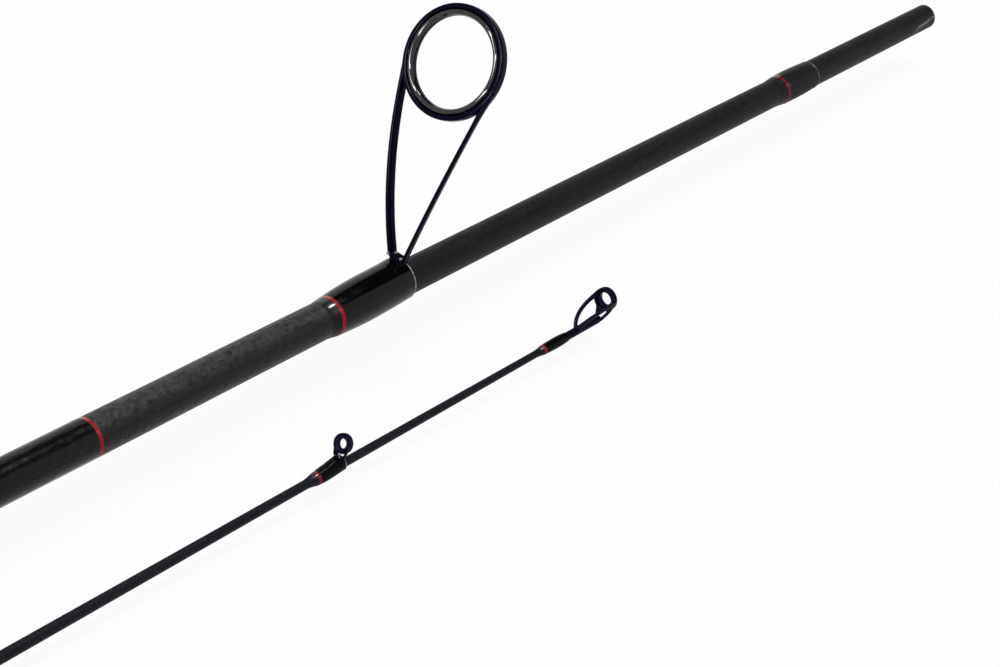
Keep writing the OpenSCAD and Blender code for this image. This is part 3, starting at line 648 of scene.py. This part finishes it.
def woven(name, gloss):
    """Woven carbon: a two-by-two twill whose two sets of tows catch the light differently, which is
    painted as two tones. It is satin with a painted highlight, a mottled lighter tone on its upper side
    where the overhead light's sheen falls, or lies under a glaze that waves a little."""
    sizes = bpy.context.scene.rod_sizes
    colours = bpy.context.scene.rod_colours
    net = Finish(name)
    height, over = twill(net.x / sizes.tow, net.turn * sizes.tow_count)
    fibre_along = net.noise(net.stretched(300.0, 9000.0), 1.0, 2.0)
    fibre_round = net.noise(net.stretched(9000.0, 300.0), 1.0, 2.0)
    fibre = over * fibre_along + (1.0 - over) * fibre_round
    patch = net.noise(net.place, 260.0, 2.0)
    weft = net.blend(patch.rise(0.35, 0.7), shade(colours.weft, 0.7), shade(colours.weft, 1.2))
    # The two tones of warp and weft are painted light: the same carbon catching the light differently
    # along and round the rod.
    tone = net.blend(over, weft, colours.warp)
    # Darker where the weave lies low: painted shade in its hollows.
    tone = net.blend((1.0 - height).rise(0.35, 1.0) * 0.4, tone, shade(colours.warp, 0.5))
    tone = net.blend(fibre * 0.25, tone, shade(colours.weft, 1.2))
    if gloss:
        wave = net.noise(net.stretched(330.0, 800.0), 1.0, 1.0)
        rough = 0.16 + 0.06 * fibre
        normal = net.bump(wave, 0.00009)
        fixed = {"Specular IOR Level": 0.16}
    else:
        felt = net.noise(net.stretched(620.0, 900.0), 1.0, 4.0, 0.6)
        # Painted highlight: a mottled lighter tone on the upper side, where the overhead light's sheen
        # falls.
        crest = net.z - 0.3 * net.y.size()
        painted_sheen = felt.rise(0.25, 0.75) * crest.rise(0.0008, 0.0044)
        tone = net.blend(painted_sheen, tone, colours.painted_sheen)
        rough = 0.34 + 0.12 * fibre + 0.04 * over
        normal = net.bump(height * 0.08 + 0.05 * fibre + felt, 0.0003)
        fixed = {"Specular IOR Level": 0.18}
    return net.surface({"Base Color": tone, "Roughness": rough, "Normal": normal}, fixed)


def wound_thread(net, sizes):
    """Height of close turns of thread: a half sine for each turn along the rod."""
    return (net.x / sizes.thread * math.pi).sine().size()


def glazed_wrap(name, line, thread, crest, matt, shine):
    """Black thread under a thick clear glaze, whose surface waves a little and pools in places. It is
    polished at the height of the crest and duller down the sides."""
    sizes = bpy.context.scene.rod_sizes
    net = Finish(name, line)
    turns = wound_thread(net, sizes)
    pool = net.noise(net.stretched(160.0, 220.0), 1.0, 2.0)
    # Darker in the grooves between turns: painted shade.
    tone = net.blend(turns * 0.5, shade(thread, 0.5), shade(thread, 1.8))
    rough = matt + 0.04 * pool + 0.22 * net.z.rise(0.8 * crest, 0.45 * crest)
    normal = net.bump(pool + turns * 0.01, 0.00004)
    return net.surface(
        {"Base Color": tone, "Roughness": rough, "Normal": normal},
        {"Specular IOR Level": shine})


def trim_thread(name, line, start, end, glaze, painted_shade_factor, radius):
    """A band of red thread from start to end along the rod. Clear glaze lies on its upper side, and over
    the blank for a length behind it. A shade factor under 1 darkens the red: painted shade, a shaded copy
    of the same thread. The red is also darker in the grooves between turns, which is painted shade."""
    sizes = bpy.context.scene.rod_sizes
    colours = bpy.context.scene.rod_colours
    net = Finish(name, line)
    turns = wound_thread(net, sizes)
    soft = sizes.thread / 6
    band = net.x.rise(start - soft, start + soft) * net.x.rise(end + soft, end - soft)
    fleck = net.noise(net.stretched(2500.0, 700.0), 1.0, 2.0)
    # Darker in the grooves between turns, and darker overall by the shade factor: painted shade.
    red = net.blend(turns, shade(colours.trim, 0.35 * painted_shade_factor), shade(colours.trim, painted_shade_factor))
    red = net.blend(fleck.rise(0.45, 0.8) * 0.4, red, shade(colours.trim, 1.5 * painted_shade_factor))
    blank = colours.butt_carbon if line == BUTT_LINE else shade(colours.tip_carbon, 0.8)
    tone = net.blend(band, blank, red)
    clear = net.x.rise(start - 1.2 * glaze, start - 0.5 * glaze) * net.z.rise(0.55 * radius, 0.8 * radius)
    rough = 0.40 + 0.1 * fleck
    normal = net.bump(turns * band, 0.000012)
    return net.surface(
        {"Base Color": tone, "Roughness": rough, "Coat Weight": clear, "Normal": normal},
        {"Specular IOR Level": 0.11, "Coat Roughness": 0.06, "Coat IOR": 1.42})


def coated_metal(name, matt):
    """Near-black coated metal of the guide frames, with a faint orange-peel and a rubbed tone."""
    colours = bpy.context.scene.rod_colours
    net = Finish(name)
    peel = net.noise(net.place, 2600.0, 2.0)
    wear = net.noise(net.place, 420.0, 4.0)
    tone = net.blend(wear.rise(0.35, 0.8), colours.guide, shade(colours.guide, 2.2))
    rough = matt + 0.05 * peel + 0.05 * wear
    return net.surface(
        {"Base Color": tone, "Roughness": rough, "Normal": net.bump(peel, 0.0000015)},
        {"Specular IOR Level": 0.05})


def polished_ceramic(name, colour, matt, shine, rear):
    """Dark ceramic with a fine crystal grain. Its lip is polished on the side behind a plane, given as
    x where z is 0 and its slope."""
    net = Finish(name)
    crystal = net.cells(net.place, 5200.0)
    cloud = net.noise(net.place, 500.0, 3.0)
    tone = net.blend(cloud, shade(colour, 0.6), shade(colour, 1.6))
    rough = matt + 0.04 * crystal
    lip = (net.x - rear[0] - net.z * rear[1]).rise(-0.0004, -0.0009)
    normal = net.bump(crystal, 0.0000005)
    return net.surface(
        {"Base Color": tone, "Roughness": rough, "Coat Weight": lip, "Normal": normal},
        {"Specular IOR Level": shine, "Coat Roughness": 0.05, "Coat IOR": 1.5})


def bare_resin(name, line, glint_tone):
    """Clear resin with small bubbles. Its light cream tone, patchy through a cloud noise, is a painted
    highlight: the light that the resin's edge catches.
    """
    net = Finish(name, line)
    cloud = net.noise(net.place, 900.0, 3.0)
    bubble = net.cells(net.place, 2400.0)
    tone = net.blend(cloud.rise(0.3, 0.75), shade(glint_tone, 0.15), glint_tone)
    rough = 0.08 + 0.1 * cloud
    return net.surface(
        {"Base Color": tone, "Roughness": rough, "Normal": net.bump(bubble, 0.00001)},
        {"Specular IOR Level": 0.5})


def foam(name):
    """Closed-cell foam that has been ground to shape: fine pores, a speckle and faint grinding rings."""
    colours = bpy.context.scene.rod_colours
    net = Finish(name)
    pore = net.cells(net.place, 1300.0)
    speck = net.noise(net.place, 900.0, 4.0)
    cloud = net.noise(net.place, 70.0, 4.0)
    ring = net.noise(net.pack(net.x, 0.0, 0.0), 900.0, 2.0)
    tone = net.blend(cloud.rise(0.3, 0.7), shade(colours.foam, 0.6), shade(colours.foam, 1.5))
    tone = net.blend(speck.rise(0.5, 0.7) * 0.6, tone, shade(colours.foam, 3.2))
    # Darker in the pores: painted shade in the small hollows.
    tone = net.blend(pore.rise(0.34, 0.1) * 0.85, tone, shade(colours.foam, 0.2))
    rough = 0.74 + 0.2 * speck
    normal = net.bump(pore.rise(0.0, 0.5) + ring * 0.3, 0.00025)
    return net.surface(
        {"Base Color": tone, "Roughness": rough, "Normal": normal}, {"Specular IOR Level": 0.3})


def rubber(name):
    """Moulded rubber with a matt spark-eroded grain, light dust in patches, and painted shade where the
    grain lies low.
    """
    colours = bpy.context.scene.rod_colours
    net = Finish(name)
    grain = net.noise(net.place, 1500.0, 3.0)
    dust = net.noise(net.place, 150.0, 5.0, 0.65)
    tone = net.blend(dust.rise(0.4, 0.75) * 0.6, colours.rubber, shade(colours.rubber, 3.2))
    # Darker where the grain lies low: painted shade in its grooves.
    tone = net.blend(grain.rise(0.5, 0.3) * 0.5, tone, shade(colours.rubber, 0.4))
    rough = 0.55 + 0.2 * grain
    return net.surface(
        {"Base Color": tone, "Roughness": rough, "Normal": net.bump(grain, 0.00016)},
        {"Specular IOR Level": 0.35})


def moulded(name):
    """Moulded plastic with a fine eroded texture and a polish where hands rub it."""
    colours = bpy.context.scene.rod_colours
    net = Finish(name)
    grain = net.noise(net.place, 4200.0, 2.0)
    rubbed = net.noise(net.place, 90.0, 3.0)
    tone = net.blend(rubbed, shade(colours.barrel, 0.7), shade(colours.barrel, 1.5))
    rough = 0.30 + 0.18 * grain + 0.1 * rubbed
    return net.surface(
        {"Base Color": tone, "Roughness": rough, "Normal": net.bump(grain, 0.00003)},
        {"Specular IOR Level": 0.4})


def turned_metal(name, base):
    """Anodised metal: fine lathe rings along the rod, a little cloudiness and a few fine scratches."""
    net = Finish(name)
    ring = net.noise(net.pack(net.x, 0.0, 0.0), 5200.0, 2.0)
    cloud = net.noise(net.place, 240.0, 3.0)
    scratch = net.noise(net.stretched(200.0, 2600.0), 1.0, 3.0).rise(0.62, 0.7)
    tone = net.blend(cloud, shade(base, 0.75), shade(base, 1.2))
    tone = net.blend(scratch * 0.35, tone, shade(base, 1.9))
    rough = 0.2 + 0.14 * ring + 0.08 * cloud
    return net.surface(
        {"Base Color": tone, "Roughness": rough, "Normal": net.bump(ring + scratch * 0.4, 0.000008)},
        {"Metallic": 0.9})


def paper_tape(name):
    """Creped paper tape in laps."""
    colours = bpy.context.scene.rod_colours
    net = Finish(name)
    crepe = net.noise(net.stretched(2600.0, 300.0), 1.0, 3.0)
    tone = net.blend(crepe, shade(colours.arbor, 0.7), shade(colours.arbor, 1.15))
    rough = 0.7 + 0.2 * crepe
    return net.surface(
        {"Base Color": tone, "Roughness": rough, "Normal": net.bump(crepe, 0.00008)}, {})


class ROD_OT_blanks(bpy.types.Operator):
    """Gives both blanks their satin wound carbon"""

    bl_idname = "rod.blanks"
    bl_label = "Blanks"

    def execute(self, context):
        colours = context.scene.rod_colours
        dress(carbon("carbon_butt", colours.butt_carbon, BUTT_LINE, True), "butt_blank")
        dress(carbon("carbon_tip", colours.tip_carbon, TIP_LINE, False), "tip_blank")
        return {"FINISHED"}


class ROD_OT_cloth(bpy.types.Operator):
    """Gives the sleeve its satin weave and lays the glazed woven coat behind it"""

    bl_idname = "rod.cloth"
    bl_label = "Woven sleeve and coat"

    def execute(self, context):
        sizes = context.scene.rod_sizes
        dress(woven("woven_satin", False), "woven_sleeve")
        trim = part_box("sleeve_trim")
        start = sizes.coat_start
        end = trim[0].x + 0.00035
        flush = (trim[1].y - trim[0].y) / 2 + 0.00003
        ramp, settle = 0.0025, 0.012
        first = start + np.array([0.0, 0.0004, 0.0012, ramp])
        last = end - np.array([*np.linspace(settle, 0.001, 12), 0.0003, 0.0001, 0.0])
        x = np.concatenate([first, last])
        r = butt_radius(x) + sizes.coat_wall * np.sin(((x - start) / ramp).clip(0, 1) * np.pi / 2)
        near = ((x - end) / settle + 1).clip(0, 1)
        outer = np.stack([x, r + (flush - r) * near ** 2 * (3 - 2 * near)], -1)
        inner = np.stack([x[::-1], butt_radius(x[::-1]) - 0.0003], -1)
        profile = np.concatenate([outer, inner])
        coat = Shell().add(turned(profile, BUTT_LINE, 128))
        coat.piece("label_coat", woven("woven_glazed", True), "butt_section", "woven_carbon")
        return {"FINISHED"}


class ROD_OT_wraps(bpy.types.Operator):
    """Glazes the black wraps"""

    bl_idname = "rod.wraps"
    bl_label = "Wraps"

    def execute(self, context):
        colours = context.scene.rod_colours
        for place in ("stripper", "butt_ferrule", "tip_ferrule", "tip_top", *GUIDES):
            line = section(place)[1]
            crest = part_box(f"{place}_wrap")[1].z - line[1]
            thread, matt, shine = colours.wrap, 0.22, 0.05
            if place == "stripper":
                matt, shine = 0.05, 0.17
            elif place in ("butt_ferrule", "tip_ferrule"):
                thread, matt, shine = shade(colours.butt_carbon, 1.5), 0.42, 0.11
            dress(glazed_wrap(f"glaze_{place}", line, thread, crest, matt, shine), f"{place}_wrap")
        return {"FINISHED"}


class ROD_OT_trims(bpy.types.Operator):
    """Winds the red bands beside the wraps"""

    bl_idname = "rod.trims"
    bl_label = "Red trims"

    def execute(self, context):
        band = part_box("sleeve_trim")
        width = band[1].x - band[0].x
        for place in ("sleeve", "stripper", "butt_ferrule", "tip_ferrule", "tip_top", *GUIDES):
            node = f"{place}_trim"
            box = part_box(node)
            low, high = box[0].x, box[1].x
            radius = (box[1].y - box[0].y) / 2
            line = section(place)[1]
            # The factor darkens the same red thread at each place but the sleeve: painted shade.
            glaze, painted_shade_factor = 0.0012, 0.6
            span = (high - 0.65 * width, high + width)
            if place == "sleeve":
                span, painted_shade_factor = (low - width, high + width), 1.0
            elif place == "stripper":
                span, glaze, painted_shade_factor = (high - 0.85 * width, high + width), 0.0026, 0.9
            elif place == "butt_ferrule":
                span, glaze, painted_shade_factor = (high - 1.5 * width, high - 0.7 * width), 0.0002, 0.5
            elif place == "tip_ferrule":
                span = (low - width, low + 0.8 * width)
            dress(trim_thread(f"thread_{place}", line, *span, glaze, painted_shade_factor, radius), node)
        return {"FINISHED"}


class ROD_OT_guides(bpy.types.Operator):
    """Coats the guide frames and polishes their rings"""

    bl_idname = "rod.guides"
    bl_label = "Guides"

    def execute(self, context):
        colours = context.scene.rod_colours
        coat = coated_metal("coated_frame", 0.12)
        fine = coated_metal("coated_fine", 0.34)
        slope = math.tan(Guide.TILT)
        middle = Guide("stripper").centre
        rear = (middle[0] - slope * middle[2], slope)
        ceramic = polished_ceramic("ceramic_ring", colours.ceramic, 0.2, 0.05, rear)
        dark = polished_ceramic("ceramic_dark", colours.dark_ceramic, 0.34, 0.06, (0.0, 0.0))
        dress(coat, "stripper_frame")
        dress(fine, "tip_top_frame", *[f"{place}_frame" for place in GUIDES])
        dress(ceramic, "stripper_ring")
        dress(dark, "tip_top_ring", *[f"{place}_ring" for place in GUIDES])
        for place in ("stripper", *GUIDES):
            guide = Guide(place)
            paint, polish = (coat, ceramic) if place == "stripper" else (fine, dark)
            bent = Shell().add(guide.legs(), False).add(guide.web(), False).add(guide.collar())
            made = bent.piece(f"{place}_bent_frame", paint, guide.body, "guide_frame")
            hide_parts(f"{place}_frame")
            lip = Shell().add(guide.ring())
            made = lip.piece(f"{place}_lipped_ring", polish, guide.body, "guide_ceramic")
            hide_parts(f"{place}_ring")
        self.tip_top(fine, dark)
        return {"FINISHED"}

    def tip_top(self, coat, ceramic):
        """The tip-top: a tube with a round nose, a deep collar ahead of it, and on each side two bars
        along cubic curves, a brace that arches back and a strap that runs down to the tube's end."""
        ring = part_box("tip_top_ring")
        centre = np.array((ring[0] + ring[1]) / 2) + np.array([0.0, 0.0, 0.00015])
        tilt = 0.04
        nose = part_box("tip_blank")[1].x + 0.0013
        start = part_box("tip_top_frame")[0].x
        bend = np.linspace(0, 1.5, 9)
        x = np.concatenate([[start, start + 0.0003], nose - 0.001 + 0.001 * np.sin(bend)])
        r = np.concatenate([[0.00100, 0.00105], 0.00045 + 0.0006 * np.cos(bend)])
        shell = Shell().add(turned(np.stack([x, r], -1), TIP_LINE, 48), False)
        shell.add(hooped(centre - np.array([0.0004, 0.0, 0.0]), tilt, 0.00267, 0.0004, 0.001, 4.0, 96))
        foot = np.array([centre[0], *TIP_LINE])
        # Each curve's four points ahead of the foot, aside and up, in millimetres
        brace = 0.001 * np.array([
            [-10.9, 0.35, 0.6], [-10.5, 1.8, 4.1], [-5.0, 2.8, 4.7], [-0.2, 2.65, 5.7]])
        strap = 0.001 * np.array([
            [-2.6, 0.6, 0.0], [-1.3, 0.8, 0.3], [-0.4, 1.4, 1.4], [-0.2, 1.9, 3.1]])
        level = np.array([0.0, 0.25, 1.0])
        for side in (1, -1):
            mirror = np.array([1.0, side, 1.0])
            path = foot + cubic(brace * mirror, 40)
            end = np.linspace(-1, 1, 40)
            wide = 0.0005 + 0.0002 * end ** 4 + 0.0004 * (0.5 - 0.5 * end) ** 8
            shell.add(swept(path, wide, 0.00042 + 0.00008 * end ** 4, level * mirror), False)
            path = foot + cubic(strap * mirror, 24)
            wide = np.linspace(0.0004, 0.0008, 24)
            shell.add(swept(path, wide, 0.00042, np.array([1.0, 0.0, 0.3])), False)
        made = shell.piece("tip_top_bent_frame", coat, "tip_section", "guide_frame")
        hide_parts("tip_top_frame")
        lip = Shell().add(hooped(centre, tilt, 0.00204, 0.0003, 0.0008, 2.6, 96))
        made = lip.piece("tip_top_lipped_ring", ceramic, "tip_section", "guide_ceramic")
        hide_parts("tip_top_ring")


class ROD_OT_handle(bpy.types.Operator):
    """Gives the grips, cap, reel seat and rings their finishes"""

    bl_idname = "rod.handle"
    bl_label = "Handle"

    def execute(self, context):
        colours = context.scene.rod_colours
        dress(foam("ground_foam"), "rear_grip", "seat_grip", "fore_grip")
        dress(rubber("cap_rubber_grain"), "butt_cap")
        dress(moulded("seat_moulded"), "reel_seat", "lock_nut")
        dress(turned_metal("hood_turned", colours.hood), "fixed_hood", "moving_hood")
        anodised = turned_metal("ring_anodised", colours.red_metal)
        dress(anodised, "rear_check", "seat_check", "fore_check", "lock_nut_ring")
        dress(paper_tape("arbor_tape"), "seat_arbors")
        return {"FINISHED"}


class ROD_OT_resin(bpy.types.Operator):
    """Adds the resin rims at the wraps' ends, and the glaze and drops at the legs' roots. The rims' and
    drops' light tone is a painted highlight.
    """

    bl_idname = "rod.resin"
    bl_label = "Bare resin"

    def execute(self, context):
        rim = context.scene.rod_sizes.resin_rim
        colours = context.scene.rod_colours
        butt = bare_resin("resin_glint_butt", BUTT_LINE, colours.resin)
        ferrule = bare_resin("resin_glint_ferrule", BUTT_LINE, colours.ferrule_rim_glint)
        tip = bare_resin("resin_glint_tip", TIP_LINE, colours.resin)
        for place in ("stripper", "butt_ferrule", *GUIDES):
            body, line = section(place)
            resin, cord = (butt, rim) if line == BUTT_LINE else (tip, 0.7 * rim)
            centre, radius, lean = wrap_end(f"{place}_wrap", line)
            edge = hooped(centre, -math.atan(lean), radius - 0.3 * cord, cord, cord, 2.0, 120, 12)
            shell = Shell().add(edge)
            if place == "butt_ferrule":
                resin = ferrule
            else:
                self.root(Guide(place), shell)
            shell.piece(f"{place}_resin_rim", resin, body, "black_wrap")
        return {"FINISHED"}

    def root(self, guide, shell):
        """The fillet at a guide's root, and drops of resin there that join the rim's mesh; the drops'
        light tone is a painted highlight.
        """
        glaze = bpy.data.materials[f"glaze_{guide.place}"]
        mound = Shell().add(guide.fillet(), False)
        mound.piece(f"{guide.place}_root_fillet", glaze, guide.body, "black_wrap")
        share = guide.between(0.35, 1.0)
        top = np.array([0.0, 0.0, guide.mound])
        for drop in Guide.DROPS:
            shell.add(guide.drop(top + 0.001 * share * np.array(drop), 0.00042 * share), False)
        # On the smaller guides one more drop sits in the gap under the ring: its light tone is painted
        # light, the bright background seen through that gap.
        if guide.place != "stripper":
            shell.add(guide.drop(top + np.array([0.0002, 0.0, 0.0001]), 0.0004), False)


class ROD_OT_stage(bpy.types.Operator):
    """Sets the floor, the white surroundings, one soft overhead light and the camera"""

    bl_idname = "rod.stage"
    bl_label = "Stage"

    def floor(self, drop):
        """A wide level sheet under the rod that is white to the camera and keeps a faint shadow."""
        reach, count = 4.0, 9
        side = np.linspace(-reach, reach, count)
        x, y = np.meshgrid(side, side)
        z = np.full_like(x, CAD_BOX[0][2] - drop)
        points = np.stack([x, y, z], -1)
        index = np.arange(count * count).reshape(count, count)
        quads = np.stack([index[:-1, :-1], index[:-1, 1:], index[1:, 1:], index[1:, :-1]], -1)
        mesh = bpy.data.meshes.new("floor")
        mesh.from_pydata(points.reshape(-1, 3).tolist(), [], quads.reshape(-1, 4).tolist())
        material = bpy.data.materials.new("floor_white")
        material.use_nodes = True
        net = Net(material.node_tree)
        camera, glossy, through = net.rays()
        white = net.math("MINIMUM", camera + glossy + through, 1.0)
        speck = net.noise(net.make("ShaderNodeTexCoord", out="Object"), 40.0)
        paper = net.blend(speck, (0.88, 0.88, 0.88), (0.92, 0.92, 0.92))
        matt = net.make("ShaderNodeBsdfDiffuse", {}, {"Color": paper})
        glow = net.make("ShaderNodeEmission", {}, {"Color": (1.0, 1.0, 1.0), "Strength": 1.0})
        mixed = net.make("ShaderNodeMixShader", {}, {0: white * FLOOR_GLOW, 1: matt, 2: glow})
        net.make("ShaderNodeOutputMaterial", {}, {0: mixed})
        mesh.materials.append(material)
        piece = bpy.data.objects.new("floor", mesh)
        bpy.context.scene.collection.objects.link(piece)

    def world(self, scene):
        """White all round to the camera; a mirror also sees one dark card ahead of the rod and above
        it, and three narrow bright panes above and behind the camera."""
        world = bpy.data.worlds.new("studio")
        world.use_nodes = True
        scene.world = world
        net = Net(world.node_tree)
        camera, glossy, through = net.rays()
        x, y, z = net.split(net.make("ShaderNodeTexCoord", out="Generated"))
        card = x.rise(0.2, 0.4) * y.rise(-0.46, -0.34) * y.rise(0.60, 0.50)
        card = card * z.rise(0.16, 0.30) * z.rise(0.93, 0.80)
        mirror = MIRROR_SKY - CARD_DARK * card
        for middle, square in PANES:
            near = (x * middle[0] + y * middle[1] + z * middle[2]).rise(0.86, 0.89)
            thin = (x * square[0] + y * square[1] + z * square[2]).size().rise(0.06, 0.045)
            mirror = mirror + PANE_STRENGTH * near * thin
        plain = net.math("MINIMUM", camera + through, 1.0)
        strength = plain + (1.0 - plain) * (glossy * mirror + (1.0 - glossy) * SKY_LIGHT)
        sky = net.make("ShaderNodeBackground", {}, {"Color": (1.0, 1.0, 1.0), "Strength": strength})
        net.make("ShaderNodeOutputWorld", {}, {0: sky})

    def execute(self, context):
        scene = context.scene
        self.floor(scene.rod_sizes.floor_drop)
        self.world(scene)
        lamp = bpy.data.lights.new("overhead", "SUN")
        lamp.energy = 1.0
        lamp.angle = LIGHT_ANGLE
        light = bpy.data.objects.new("overhead", lamp)
        light.rotation_euler = Vector(LIGHT_WAY).to_track_quat("Z", "Y").to_euler()
        scene.collection.objects.link(light)
        data = bpy.data.cameras.new("camera")
        data.sensor_fit = "HORIZONTAL"
        data.sensor_width = CAMERA_SENSOR
        data.lens = CAMERA_LENS
        data.clip_start = 0.01
        data.clip_end = 50.0
        camera = bpy.data.objects.new("camera", data)
        ahead = Vector(CAMERA_AHEAD).normalized()
        right = Vector(CAMERA_RIGHT).normalized()
        turn = Matrix((right, right.cross(ahead), -ahead)).transposed().to_4x4()
        camera.matrix_world = Matrix.Translation(CAMERA_PLACE) @ turn
        scene.collection.objects.link(camera)
        scene.camera = camera
        scene.view_settings.view_transform = "Standard"
        return {"FINISHED"}


class ROD_PT_panel(bpy.types.Panel):
    """Lists the rod's finishes with their sizes and colours"""

    bl_label = "Spinning rod"
    bl_idname = "ROD_PT_panel"
    bl_space_type = "VIEW_3D"
    bl_region_type = "UI"
    bl_category = "Rod"

    def draw(self, context):
        for operator in OPERATORS:
            self.layout.operator(operator.bl_idname)
        for group in (context.scene.rod_sizes, context.scene.rod_colours):
            for name in group.__annotations__:
                self.layout.prop(group, name)


OPERATORS = (ROD_OT_blanks, ROD_OT_cloth, ROD_OT_wraps, ROD_OT_trims, ROD_OT_guides, ROD_OT_handle,
             ROD_OT_resin, ROD_OT_stage)
CLASSES = (RodSizes, RodColours, *OPERATORS, ROD_PT_panel)


def register():
    for kind in CLASSES:
        bpy.utils.register_class(kind)
    bpy.types.Scene.rod_sizes = bpy.props.PointerProperty(type=RodSizes)
    bpy.types.Scene.rod_colours = bpy.props.PointerProperty(type=RodColours)


def unregister():
    del bpy.types.Scene.rod_colours
    del bpy.types.Scene.rod_sizes
    for kind in reversed(CLASSES):
        bpy.utils.unregister_class(kind)


def main():
    register()
    bpy.ops.rod.blanks()
    bpy.ops.rod.cloth()
    bpy.ops.rod.wraps()
    bpy.ops.rod.trims()
    bpy.ops.rod.guides()
    bpy.ops.rod.handle()
    bpy.ops.rod.resin()
    bpy.ops.rod.stage()


if __name__ == "__main__":
    main()
